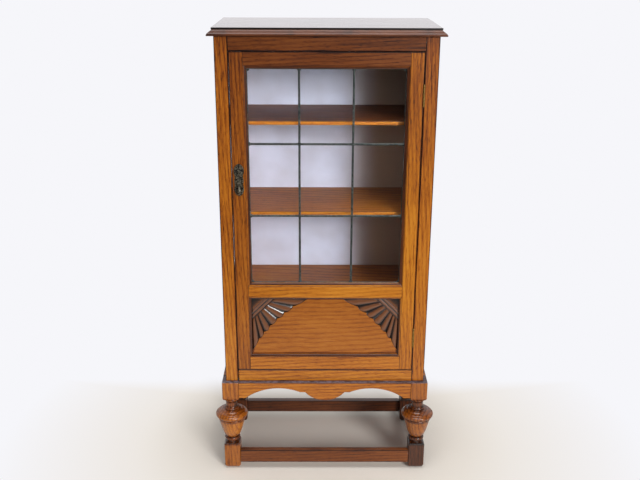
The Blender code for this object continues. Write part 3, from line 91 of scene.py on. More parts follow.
class Nodes:
    """The node tree of a material or the world, with short ways to fill it."""

    def __init__(self, owner: bpy.types.ID) -> None:
        owner.use_nodes = True
        self.tree = owner.node_tree
        self.tree.nodes.clear()

    def add(
        self, kind: str, inputs: dict[object, object], **settings: object
    ) -> bpy.types.bpy_prop_collection:
        """Add one node.

        Args:
            kind: Blender's name for the node type, without its prefix.
            inputs: A socket or a value for each input, by name or number.
            **settings: The node's own properties.

        Returns:
            The node's outputs.
        """
        node = self.tree.nodes.new(f"ShaderNode{kind}")
        for key, value in settings.items():
            setattr(node, key, value)
        for key, value in inputs.items():
            if isinstance(value, Socket):
                self.tree.links.new(value, node.inputs[key])
            else:
                node.inputs[key].default_value = value
        return node.outputs

    def math(self, operation: str, *values: object) -> Socket:
        """Work out one number from sockets and numbers."""
        return self.add("Math", dict(enumerate(values)), operation=operation)[0]

    def vector(self, operation: str, *values: object) -> Socket:
        """Work out one vector, or its length, from sockets and vectors."""
        outputs = self.add("VectorMath", dict(enumerate(values)), operation=operation)
        return outputs["Value" if operation == "LENGTH" else "Vector"]

    def total(self, shares: Sequence[tuple[Socket, float]], start: float) -> Socket:
        """Add several values, each by its share, to a first number."""
        total: object = start
        for socket, share in shares:
            total = self.math("MULTIPLY_ADD", socket, share, total)
        return total

    def coords(self) -> Socket:
        """Return the place on the object, in metres."""
        return self.add("TexCoord", {})["Object"]

    def along(self, axis: str) -> Socket:
        """Return the place along one axis."""
        return self.add("SeparateXYZ", {0: self.coords()})[axis]

    def stretched(self, place: Socket, cell: Sequence[float]) -> Socket:
        """Scale places so that one cell of noise gets a real size, in metres."""
        return self.add("Mapping", {"Vector": place, "Scale": [1 / side for side in cell]})[0]

    def noise(self, place: Socket, scale: float, detail: float, roughness: float = 0.5) -> Socket:
        """Add noise between nothing and one."""
        inputs = {"Vector": place, "Scale": scale, "Detail": detail, "Roughness": roughness}
        return self.add("TexNoise", inputs)["Fac"]

    def rise(
        self,
        value: Socket,
        start: float,
        stop: float,
        low: float = 0.0,
        high: float = 1.0,
        kind: str = "LINEAR",
    ) -> Socket:
        """Go from low to high while a value goes from start to stop."""
        ends = {"From Min": start, "From Max": stop, "To Min": low, "To Max": high}
        return self.add("MapRange", {"Value": value, **ends}, interpolation_type=kind)[0]

    def ease(
        self, value: Socket, start: float, stop: float, low: float = 0.0, high: float = 1.0
    ) -> Socket:
        """Rise with a soft start and a soft stop."""
        return self.rise(value, start, stop, low, high, "SMOOTHSTEP")

    def ramp(self, value: Socket, stops: Sequence[tuple[float, object]]) -> Socket:
        """Add a colour ramp.

        Args:
            value: The socket that drives the ramp.
            stops: Places from 0 to 1 with a hex colour or a grey level each.

        Returns:
            The ramp's colour.
        """
        node = self.tree.nodes.new("ShaderNodeValToRGB")
        self.tree.links.new(value, node.inputs["Fac"])
        marks = node.color_ramp.elements
        while len(marks) < len(stops):
            marks.new(0.5)
        for mark, (place, colour) in zip(marks, stops):
            mark.position = place
            mark.color = linear(colour) if isinstance(colour, str) else (colour, colour, colour, 1.0)
        return node.outputs["Color"]

    def mix(self, share: Socket, first: Socket, second: Socket) -> Socket:
        """Mix two shaders."""
        return self.add("MixShader", {0: share, 1: first, 2: second})[0]

    def skin(
        self, looks: dict[object, object], height: Socket, strength: float, relief: float
    ) -> Socket:
        """Add a surface with small bumps.

        Args:
            looks: The surface's inputs.
            height: What the bumps follow.
            strength: How strongly they show.
            relief: How far they rise, in metres.

        Returns:
            The surface's shader.
        """
        bump = self.add("Bump", {"Height": height, "Strength": strength, "Distance": relief})[0]
        return self.add("BsdfPrincipled", {**looks, "Normal": bump})[0]

    def show(self, shader: Socket, target: str = "Material") -> None:
        """Plug a shader into the tree's output."""
        self.add(f"Output{target}", {"Surface": shader})


def new_material(name: str) -> tuple[bpy.types.Material, Nodes]:
    """Make an empty material and return it with its nodes."""
    material = bpy.data.materials.new(name)
    return material, Nodes(material)


@dataclass(frozen=True)
class VarnishedOak:
    """Oak board, planed, stained and French polished: streaked, warm, glossy.

    Real oak has growth rings 2 to 4 mm apart and pores 0.3 mm wide. Both are
    drawn coarser here, because at the render's 2.7 mm a pixel they would blur.
    """

    tone: Tone = Tone.AMBER
    ring_mm: float = 9.0
    fibre_mm: Pair = (2.4, 60.0)
    pore_mm: Pair = (1.3, 16.0)
    streak_mm: Pair = (3.8, 120.0)
    sway_mm: float = 16.0
    gloss: float = 0.36
    polish: float = 0.35
    # How dark the painted shade towards the top is.
    top_shade: float = 0.13
    # How dark the painted shade along the board's edges is.
    edges: float = 0.42
    joint_shade_mm: float = 2.6
    contrast: float = 1.0
    dark_levels: tuple[Pair, ...] = ()
    dark_levels_share: float = 0.60
    # Painted shade darkens the oak from the door's middle up to the top board.
    top_shade_levels: Pair = (0.62, 1.16)
    # Each board comes from its own stretch of the trunk.
    stretch: float = 0.83

    def material(
        self,
        name: str,
        node: str,
        seed: int,
        pith_mm: Pair,
        half: Optional[Vector] = None,
        level: Optional[float] = None,
    ) -> bpy.types.Material:
        """Make a board's own material, from its own part of the tree.

        Args:
            name: The material's name.
            node: The board's CAD node. The grain runs along its longest side.
            seed: A number that picks the stretch of trunk.
            pith_mm: How far the trunk's heart lies from the board's centre.
            half: Half the board's size, for the painted shade along its edges.
            level: The level that the pattern starts from, if not the centre's.

        Returns:
            The material.
        """
        material, nodes = new_material(name)
        low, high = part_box(node)
        centre, size = (low + high) / 2, high - low
        turn = TURNS["XYZ"[list(size).index(max(size))]]
        start = Vector((centre.x, centre.y, centre.z if level is None else level))
        heart = Vector((pith_mm[0] * MM, pith_mm[1] * MM, self.stretch * seed))
        place = heart - Euler(turn).to_matrix() @ start
        board = nodes.add(
            "Mapping", {"Vector": nodes.coords(), "Rotation": turn, "Location": place}
        )[0]
        darkeners = [(nodes.rise(nodes.along("Z"), *self.top_shade_levels), self.top_shade)]
        if half is not None:
            darkeners.append((self._joint_shade(nodes, centre, half), self.edges))
        if self.dark_levels:
            darkeners.append((nodes.ramp(nodes.along("Z"), self.dark_levels), self.dark_levels_share))
        colour, height = self._figure(nodes, board, darkeners)
        wear = self._noise(nodes, board, (20.0, 60.0), 3.0)
        looks = {
            "Base Color": colour,
            "Roughness": nodes.rise(wear, 0.0, 1.0, self.gloss - 0.05, self.gloss + 0.10),
            "Coat Weight": self.polish,
            "Coat Roughness": 0.10,
            "IOR": 1.48,
            "Specular IOR Level": 0.28,
        }
        nodes.show(nodes.skin(looks, height, 0.22, 0.0003))
        return material

    def _noise(self, nodes: Nodes, board: Socket, cell_mm: Pair, detail: float) -> Socket:
        """Add noise whose cells have a real width and a real length."""
        width, length = cell_mm[0] * MM, cell_mm[1] * MM
        return nodes.noise(nodes.stretched(board, (width, width, length)), 1.0, detail, 0.55)

    def _figure(
        self, nodes: Nodes, board: Socket, darkeners: Sequence[tuple[Socket, float]]
    ) -> tuple[Socket, Socket]:
        """Draw rings, fibres, pores, streaks and the stain's clouds.

        Args:
            nodes: The material's nodes.
            board: The board's upright coordinates.
            darkeners: What darkens the board, painted shade among it, with how much each does so.

        Returns:
            The colour and the height.
        """
        tilt = nodes.add("Mapping", {"Vector": board, "Rotation": (0.030, 0.045, 0.0)})[0]
        sway = self._noise(nodes, board, (90.0, 220.0), 2.0)
        radius = nodes.vector("LENGTH", nodes.vector("MULTIPLY", tilt, (1.0, 1.0, 0.0)))
        swayed = nodes.math("MULTIPLY_ADD", sway, self.sway_mm * MM, radius)
        ring = nodes.math("FRACT", nodes.math("DIVIDE", swayed, self.ring_mm * MM))
        early = nodes.ramp(ring, [(0.0, 0.05), (0.10, 0.0), (0.30, 0.62), (0.62, 1.0), (1.0, 0.55)])
        fibre = self._noise(nodes, board, self.fibre_mm, 3.0)
        pore = nodes.ramp(self._noise(nodes, board, self.pore_mm, 2.0), [(0.54, 0.0), (0.68, 1.0)])
        streak = nodes.ramp(self._noise(nodes, board, self.streak_mm, 3.0), [(0.53, 0.0), (0.70, 1.0)])
        cloud = self._noise(nodes, board, (130.0, 360.0), 2.0)
        shares = [(early, 0.18), (fibre, 0.50), (cloud, 0.50)]
        shares += [(pore, -0.24 * self.contrast), (streak, -0.17 * self.contrast)]
        tone = nodes.total(shares + [(socket, -share) for socket, share in darkeners], 0.01)
        height = nodes.total([(fibre, 0.5), (pore, -0.6)], 0.4)
        return nodes.ramp(tone, list(zip((0.10, 0.36, 0.60, 0.88), self.tone.value))), height

    def _joint_shade(self, nodes: Nodes, centre: Vector, half: Vector) -> Socket:
        """Rise to one along the board's edges: painted shade, as in the joints between boards."""
        off = nodes.vector("ABSOLUTE", nodes.vector("SUBTRACT", nodes.coords(), centre))
        x, y, z = nodes.add("SeparateXYZ", {0: nodes.vector("SUBTRACT", half, off)})
        # The middle one of the three distances is the one to the nearest edge.
        near, far = nodes.math("MINIMUM", x, y), nodes.math("MAXIMUM", x, y)
        edge = nodes.math("MAXIMUM", near, nodes.math("MINIMUM", far, z))
        return nodes.ease(edge, 0.0005, self.joint_shade_mm * MM, 1.0, 0.0)


@dataclass(frozen=True)
class CarverStain:
    """Gouge-cut oak under dark stain: near black in the V cuts, rubbed on top."""

    deep: str = "#0A0503"
    flank: str = "#2F170C"
    crest: str = "#6F4123"
    streak_mm: Pair = (3.0, 30.0)

    def material(self, name: str) -> bpy.types.Material:
        """Make the stained finish, which reads the carving's depth and the painted shade along its
        edges.
        """
        material, nodes = new_material(name)
        width, length = self.streak_mm[0] * MM, self.streak_mm[1] * MM
        streak = nodes.noise(nodes.stretched(nodes.coords(), (length, width, width)), 1.0, 4.0, 0.6)
        depth_and_shade = nodes.add("Attribute", {}, attribute_name="depth_and_shade")["Fac"]
        mixed = nodes.math("MULTIPLY_ADD", streak, -0.42, depth_and_shade)
        looks = {
            "Base Color": nodes.ramp(mixed, [(0.0, self.crest), (0.20, self.flank), (0.50, self.deep)]),
            "Roughness": 0.32,
            "Coat Weight": 0.7,
            "Coat Roughness": 0.17,
            "IOR": 1.48,
        }
        nodes.show(nodes.skin(looks, streak, 0.25, 0.0004))
        return material


@dataclass(frozen=True)
class DistemperedBoard:
    """Thin backboard under flat distemper: matt, bluish white, a little soiled, with a painted shadow on
    its right part.
    """

    clean: str = "#DADCEA"
    soiled: str = "#C4C2CC"
    shadowed: str = "#A68C76"
    cloud_mm: float = 90.0
    # A painted shadow browns the paint from the middle towards the hinges' side, where the case's right
    # side shades it.
    shadow_span: Pair = (0.03, 0.16)

    def material(self, name: str) -> bpy.types.Material:
        """Make the painted finish, with brush marks that run upright."""
        material, nodes = new_material(name)
        coords = nodes.coords()
        cloud = nodes.noise(coords, 1 / (self.cloud_mm * MM), 3.0)
        paint = nodes.add("MixRGB", {
            "Fac": nodes.ease(nodes.along("X"), *self.shadow_span),
            "Color1": nodes.ramp(cloud, [(0.35, self.clean), (0.75, self.soiled)]),
            "Color2": linear(self.shadowed),
        })[0]
        marks = nodes.noise(nodes.stretched(coords, (0.003, 0.003, 0.2)), 1.0, 2.0)
        nodes.show(nodes.skin({"Base Color": paint, "Roughness": 0.72}, marks, 0.08, 0.0002))
        return material


@dataclass(frozen=True)
class WornMetal:
    """Cast or drawn metal with a skin of age: dull in the hollows, rubbed proud."""

    bare: str
    aged: str
    roughness: float
    metallic: float
    patch_mm: float = 4.0
    relief_mm: float = 0.06
    rubbed: float = 0.62

    def material(self, name: str) -> bpy.types.Material:
        """Make the metal, mottled at the size of its patches."""
        material, nodes = new_material(name)
        patch = nodes.noise(nodes.coords(), 1 / (self.patch_mm * MM), 5.0, 0.65)
        looks = {
            "Base Color": nodes.ramp(patch, [(0.40, self.aged), (self.rubbed, self.bare)]),
            "Roughness": nodes.rise(patch, 0.0, 1.0, self.roughness - 0.12, self.roughness + 0.14),
            "Metallic": self.metallic,
        }
        nodes.show(nodes.skin(looks, patch, 1.0, self.relief_mm * MM))
        return material


@dataclass(frozen=True)
class DrawnGlass:
    """Drawn sheet glass: clear and nearly neutral, with slow waves in its face."""

    tint: str = "#F4F6F9"
    wave_mm: float = 55.0

    def material(self, name: str) -> bpy.types.Material:
        """Make the glass, which lets the lamps through to the shelves."""
        material, nodes = new_material(name)
        wave = nodes.noise(nodes.coords(), 1 / (self.wave_mm * MM), 1.0)
        tint = linear(self.tint)
        looks = {"Base Color": tint, "Transmission Weight": 1.0, "Roughness": 0.0, "IOR": 1.5}
        glass = nodes.skin(looks, wave, 0.05, 0.002)
        clear_glass = nodes.add("BsdfTransparent", {"Color": tint})[0]
        shadow = nodes.add("LightPath", {})["Is Shadow Ray"]
        nodes.show(nodes.mix(shadow, glass, clear_glass))
        return material


def clear() -> None:
    """Deselect everything."""
    bpy.ops.object.select_all(action="DESELECT")


def hold(thing: bpy.types.Object) -> None:
    """Select one object alone and make it active."""
    clear()
    thing.hide_set(False)
    thing.select_set(True)
    bpy.context.view_layer.objects.active = thing


def started(name: str) -> bpy.types.Object:
    """Name the active piece and freeze its place."""
    thing = bpy.context.active_object
    thing.name = name
    thing.data.name = name
    hold(thing)
    bpy.ops.object.transform_apply(location=True, rotation=True, scale=True)
    return thing


def placed(name: str, place: Sequence[float]) -> bpy.types.Object:
    """Move the active piece, name it and freeze its place."""
    bpy.context.active_object.location = place
    return started(name)


def block(name: str, low: Sequence[float], high: Sequence[float]) -> bpy.types.Object:
    """Add a block between its lowest and its highest corner."""
    clear()
    middle = [(a + b) / 2 for a, b in zip(low, high)]
    size = [b - a for a, b in zip(low, high)]
    bpy.ops.mesh.primitive_cube_add(size=1, location=middle, scale=size)
    return started(name)


def rod(
    name: str, centre: Sequence[float], radius: float, length: float, axis: str, sides: int = 24
) -> bpy.types.Object:
    """Add a round rod that lies along the X, Y or Z axis."""
    clear()
    bpy.ops.mesh.primitive_cylinder_add(
        vertices=sides, radius=radius, depth=length, location=centre, rotation=TURNS[axis]
    )
    return started(name)


def grip() -> None:
    """Edit the held piece, with all of it selected."""
    bpy.ops.object.mode_set(mode="EDIT")
    bpy.ops.mesh.select_all(action="SELECT")


def close() -> None:
    """Turn all faces of the edited piece outwards and stop editing it."""
    bpy.ops.mesh.select_all(action="SELECT")
    bpy.ops.mesh.normals_make_consistent(inside=False)
    bpy.ops.object.mode_set(mode="OBJECT")


def extrude(move: Sequence[float]) -> None:
    """Draw the selected faces out."""
    bpy.ops.mesh.extrude_region_move(TRANSFORM_OT_translate={"value": move})


def draw_up(sections: Sequence[tuple[float, float, float]], fixed_y: float = 0.0) -> None:
    """Draw the selected face up, section by section, and close the form.

    Args:
        sections: Widths, depths and levels from the bottom up. The first one
            is the face as it lies, and only the ratios of the sizes count.
        fixed_y: The line that the depths grow from.
    """
    for (width, depth, level), (wider, deeper, higher) in zip(sections, sections[1:]):
        extrude((0, 0, higher - level))
        bpy.ops.transform.resize(
            value=(wider / width, deeper / depth, 1), center_override=(0, fixed_y, higher)
        )
    close()


def turned(name: str, profile: Sequence[Pair], sides: int = 64) -> bpy.types.Object:
    """Draw up a turned form on the Z axis and close both ends.

    Args:
        name: The piece's name.
        profile: Radii and levels from the bottom up.
        sides: How many sides each ring has.

    Returns:
        The turned piece.
    """
    radius, level = profile[0]
    clear()
    bpy.ops.mesh.primitive_circle_add(
        vertices=sides, radius=radius, location=(0, 0, level), fill_type="NGON"
    )
    thing = started(name)
    grip()
    draw_up([(radius, radius, level) for radius, level in profile])
    return thing


def round_edges(thing: bpy.types.Object, test: EdgeTest, width: float, steps: int) -> None:
    """Bevel the edges whose two ends pass a test, over a width and in steps."""
    hold(thing)
    bpy.ops.object.mode_set(mode="EDIT")
    bpy.ops.mesh.select_mode(type="EDGE")
    bpy.ops.mesh.select_all(action="DESELECT")
    bpy.ops.object.mode_set(mode="OBJECT")
    points = thing.data.vertices
    for edge in thing.data.edges:
        first, second = (points[i].co for i in edge.vertices)
        edge.select = test(first, second)
    bpy.ops.object.mode_set(mode="EDIT")
    bpy.ops.mesh.bevel(offset=width, segments=steps, affect="EDGES", clamp_overlap=True)
    bpy.ops.object.mode_set(mode="OBJECT")


def rims(axis: int) -> EdgeTest:
    """Test for the edges that lie square to an axis."""
    return lambda a, b: abs(a[axis] - b[axis]) < TINY


def runs(axis: int, length: float) -> EdgeTest:
    """Test for the edges that go further than a length along an axis."""
    return lambda a, b: abs(a[axis] - b[axis]) > length


def apply(thing: bpy.types.Object, kind: str, **settings: object) -> None:
    """Add a modifier of one of Blender's kinds, set it and apply it."""
    hold(thing)
    modifier = thing.modifiers.new(kind.title(), kind)
    for key, value in settings.items():
        setattr(modifier, key, value)
    bpy.ops.object.modifier_apply(modifier=modifier.name)


def cut(thing: bpy.types.Object, tools: Sequence[bpy.types.Object]) -> None:
    """Cut tools out of a piece and drop them."""
    settings = {"operation": "DIFFERENCE", "solver": "EXACT", "material_mode": "TRANSFER"}
    for tool in tools:
        apply(thing, "BOOLEAN", object=tool, **settings)
        bpy.data.objects.remove(tool)


def join(name: str, parts: Sequence[bpy.types.Object]) -> bpy.types.Object:
    """Join several parts into the first."""
    hold(parts[0])
    for part in parts[1:]:
        part.select_set(True)
    bpy.ops.object.join()
    parts[0].name = name
    parts[0].data.name = name
    return parts[0]


def smooth(thing: bpy.types.Object, degrees: float = 35.0) -> None:
    """Shade a piece smooth, with its flat faces kept flat."""
    hold(thing)
    bpy.ops.object.shade_smooth_by_angle(angle=math.radians(degrees))
    apply(thing, "WEIGHTED_NORMAL", keep_sharp=True, weight=100)


def coat(thing: bpy.types.Object, *materials: bpy.types.Material) -> None:
    """Give a piece these materials alone."""
    thing.data.materials.clear()
    for material in materials:
        thing.data.materials.append(material)


def sort_faces(thing: bpy.types.Object, pick: Callable[[bpy.types.MeshPolygon], int]) -> None:
    """Pick each face's material by its number."""
    for face in thing.data.polygons:
        face.material_index = int(pick(face))


def dress(thing: bpy.types.Object, body: Body, node: str) -> None:
    """Finish a piece.

    Args:
        thing: The piece.
        body: The body it rides on.
        node: The CAD node that it replaces.
    """
    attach(thing, body.value)
    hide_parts(node)
    log.info("%s: %d faces", thing.name, len(thing.data.polygons))


@dataclass
class BoardWork:
    """Boards that keep the CAD's shape, with their edges eased by hand."""

    steps: int = 2
    flat: float = 0.985
    dust_and_sheen_depth: float = 0.002
    boards: int = field(default=0, init=False)
    # Pale lavender: dust, with a painted reflection of the light on the ledge.
    dust_and_sheen: WornMetal = WornMetal("#7C6E78", "#4B3B3C", 0.5, 0.0, 12.0)

    def board(
        self,
        body: Body,
        node: str,
        finish: VarnishedOak,
        pith_mm: Pair,
        ease: float = 0.0006,
        slot: str = "oak",
    ) -> bpy.types.Object:
        """Stand an eased copy of a CAD board in the board's place.

        Args:
            body: The body it rides on.
            node: The CAD node.
            finish: Its finish.
            pith_mm: How far the trunk's heart lies from the board's centre.
            ease: The bevel's width, or nothing where the edges stay sharp.
            slot: The record's material slot; not used.

        Returns:
            The dressed board.
        """
        hold(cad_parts[node])
        bpy.ops.object.duplicate(linked=False)
        copy = bpy.context.active_object
        for key in list(copy.keys()):
            if key.startswith("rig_"):
                del copy[key]
        copy.parent = None
        copy.name = f"oak_{node}"
        copy.data.name = copy.name
        grip()
        bpy.ops.mesh.remove_doubles(threshold=0.00002)
        bpy.ops.mesh.dissolve_limited(angle_limit=math.radians(1.0))
        bpy.ops.object.mode_set(mode="OBJECT")
        if ease:
            apply(
                copy,
                "BEVEL",
                width=ease,
                segments=self.steps,
                limit_method="ANGLE",
                angle_limit=math.radians(50),
                use_clamp_overlap=False,
                miter_outer="MITER_ARC",
            )
        smooth(copy, 40.0)
        self.boards += 1
        low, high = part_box(node)
        half = (high - low) / 2
        # The eased edges and moulded faces are darker: pooled varnish, and painted shade in the joints
        # and the sticking.
        pooled_and_shaded = replace(finish, tone=Tone.UMBER, polish=0.6)
        coat(copy, *(
            oak.material(f"{word}_{node}", node, self.boards, pith_mm, half)
            for word, oak in (("polished_oak", finish), ("pooled_varnish_and_shade", pooled_and_shaded))
        ))
        sort_faces(copy, lambda face: max(abs(n) for n in face.normal) < self.flat)
        if node == "apron_front":
            self.lay_dust_and_sheen(copy, high.z)
        dress(copy, body, node)
        return copy

    def lay(self, body: Body, *rows: tuple) -> None:
        """Stand several boards on one body, each from its board() arguments."""
        for row in rows:
            self.board(body, *row)

    def lay_dust_and_sheen(self, thing: bpy.types.Object, level: float) -> None:
        """Give the upper faces at the stand's top level their pale colour: dust, and a painted
        reflection of the light on the ledge.
        """
        thing.data.materials.append(self.dust_and_sheen.material("dust_and_sheen_ledge"))
        last = len(thing.data.materials) - 1
        for face in thing.data.polygons:
            if face.normal.z > 0.5 and face.center.z > level - self.dust_and_sheen_depth:
                face.material_index = last


def bead(low: float, high: float, edge: float, full: float, steps: int) -> list[Pair]:
    """Return the radii and levels of a half-round bead.

    Args:
        low: Its lowest level.
        high: Its highest level.
        edge: The radius at its two edges.
        full: The radius at its middle.
        steps: How many steps it takes.

    Returns:
        Radii and levels from the bottom up.
    """
    turns = [math.pi * i / steps for i in range(steps + 1)]
    return [
        (edge + (full - edge) * math.sin(t), low + (high - low) * (1 - math.cos(t)) / 2) for t in turns
    ]


@dataclass
class TurnedStand:
    """The stand: cup and cover legs, aprons and box stretchers."""

    head: float = 0.0444
    head_height: float = 0.0564
    head_round: float = 0.0090
    foot: float = 0.0440
    foot_height: float = 0.0793
    foot_round: float = 0.0140
    arris: float = 0.0012
    height: float = 0.2694
    shoulder: float = 0.0040
    # Darker by level: painted shade in the turning's quirks and hollows, on the foot's top and by the
    # floor.
    finish: VarnishedOak = VarnishedOak(
        Tone.AMBER,
        gloss=0.34,
        polish=0.6,
        dark_levels=(
            (0.000, 0.30), (0.012, 0.10), (0.072, 0.10), (0.079, 0.80), (0.087, 0.85), (0.092, 0.35),
            (0.0975, 0.95), (0.101, 0.25), (0.120, 0.00), (0.149, 0.05), (0.1525, 0.60), (0.156, 0.30),
            (0.1588, 0.95), (0.163, 0.20), (0.168, 0.20), (0.180, 0.40), (0.1828, 0.90), (0.1856, 0.20),
            (0.1892, 0.80), (0.199, 0.35), (0.2082, 0.80), (0.2117, 0.20), (0.2145, 0.45), (0.222, 0.05),
        ),
    )

    def profile(self) -> list[Pair]:
        """Return the turning's radii and levels, measured from the floor up."""
        rings = [(0.0163, 0.0770), (0.0161, 0.0830), (0.0165, 0.0868)]
        # The bead at the base, and the cup that opens above it.
        rings += bead(0.0873, 0.0968, 0.0176, 0.0212, 10)
        rings += [(0.0168, 0.0974), (0.0170, 0.0984)]
        rings += [(0.0176 + 0.0184 * (i / 12) ** 0.62, 0.0988 + 0.0536 * i / 12) for i in range(1, 13)]
        rings += bead(0.1528, 0.1576, 0.0357, 0.0380, 8)
        rings += [(0.0360, 0.1581), (0.0364, 0.1585)]
        # The cover, which swells out of the cup and falls in fine ridges.
        rings += [
            (0.0368 + 0.0067 * (1 - off), 0.1589 + 0.0071 * up) for up, off in quarter_round(8)[1:]
        ]
        for turn in (math.pi * i / 26 for i in range(1, 27)):
            fall = (1 - math.cos(turn)) / 2
            ridge = 0.0005 * math.sin(turn) * math.sin(6.5 * turn)
            rings.append((
                0.0435 - 0.0239 * fall + ridge, 0.1660 + 0.0158 * math.sin(turn / 2) + ridge
            ))
        # The collar, the waisted neck and the bead under the head.
        rings += [(0.0184, 0.1822), (0.0178, 0.1826)]
        rings += bead(0.1830, 0.1878, 0.0180, 0.0203, 8)
        rings += [(0.0172, 0.1882), (0.0168, 0.1887)]
        for i in range(1, 11):
            share = i / 10
            end = 0.0168 if share < 0.5 else 0.0172
            rings.append((0.0152 + (end - 0.0152) * abs(2 * share - 1) ** 3, 0.1887 + 0.0195 * share))
        rings += bead(0.2088, 0.2140, 0.0174, 0.0196, 8)
        return rings + [(0.0172, 0.2180)]

    def square(
        self, name: str, size: float, low: float, high: float, curve: float, shoulder: float
    ) -> bpy.types.Object:
        """Make a square block with a rounded underside and eased corners.

        Args:
            name: The block's name.
            size: Its width.
            low: Its lowest level.
            high: Its highest level.
            curve: The radius under it.
            shoulder: The radius on top of it.

        Returns:
            The block.
        """
        rings = [(size / 2 - curve * off, low + curve * up) for up, off in quarter_round(8)]
        rings += [(size / 2 - shoulder * off, high - shoulder * down) for off, down in quarter_round(4)]
        half, level = rings[0]
        clear()
        bpy.ops.mesh.primitive_plane_add(size=2 * half, location=(0, 0, level))
        piece = started(name)
        grip()
        bpy.ops.mesh.bevel(offset=self.arris, segments=3, affect="VERTICES")
        bpy.ops.mesh.select_all(action="SELECT")
        draw_up([(half, half, level) for half, level in rings])
        return piece

    def build(self, work: BoardWork) -> None:
        """Turn one leg, copy it to the corners, and fit the rails."""
        turning = turned("turning", self.profile())
        under = self.height - self.head_height
        head = self.square("head", self.head, under, self.height, self.head_round, self.arris)
        foot = self.square("foot", self.foot, 0.0, self.foot_height, self.foot_round, self.shoulder)
        master = join("leg", [turning, head, foot])
        legs = (
            ("leg_front_left", Tone.AMBER, Tone.BROWN),
            ("leg_front_right", Tone.BROWN, Tone.UMBER),
            # The back legs take dark tones throughout, as painted shade for the shadow they stand in.
            ("leg_back_left", Tone.DEEP, Tone.UMBER),
            ("leg_back_right", Tone.DEEP, Tone.UMBER),
        )
        for seed, (node, *tones) in enumerate(legs, 20):
            low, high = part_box(node)
            middle = (low + high) / 2
            hold(master)
            bpy.ops.object.duplicate(linked=False)
            leg = placed(f"oak_{node}", (middle.x, middle.y, 0.0))
            smooth(leg)
            for word, tone in zip(("turned_oak", "darker_foot_oak"), tones):
                oak = replace(self.finish, tone=tone)
                leg.data.materials.append(
                    oak.material(f"{word}_{node}", node, seed, (30.0, 45.0), level=0.1)
                )
            # The foot blocks take the second, darker tone.
            sort_faces(leg, lambda face: face.center.z < self.foot_height)
            work.lay_dust_and_sheen(leg, self.height)
            dress(leg, Body.CASE, node)
        bpy.data.objects.remove(master)
        work.lay(
            Body.CASE,
            ("apron_front", VarnishedOak(Tone.AMBER), (20.0, 45.0)),
            ("apron_back", VarnishedOak(Tone.BROWN), (60.0, 45.0)),
            ("apron_left", VarnishedOak(Tone.AMBER), (50.0, 40.0)),
            ("apron_right", VarnishedOak(Tone.AMBER), (50.0, 40.0)),
            ("stretcher_front", VarnishedOak(Tone.DEEP), (30.0, 70.0), 0.0, "dark_oak"),
            ("stretcher_back", VarnishedOak(Tone.UMBER), (30.0, 70.0), 0.0, "dark_oak"),
            ("stretcher_left", VarnishedOak(Tone.UMBER), (60.0, 40.0), 0.0, "dark_oak"),
            ("stretcher_right", VarnishedOak(Tone.UMBER), (60.0, 40.0), 0.0, "dark_oak"),
        )


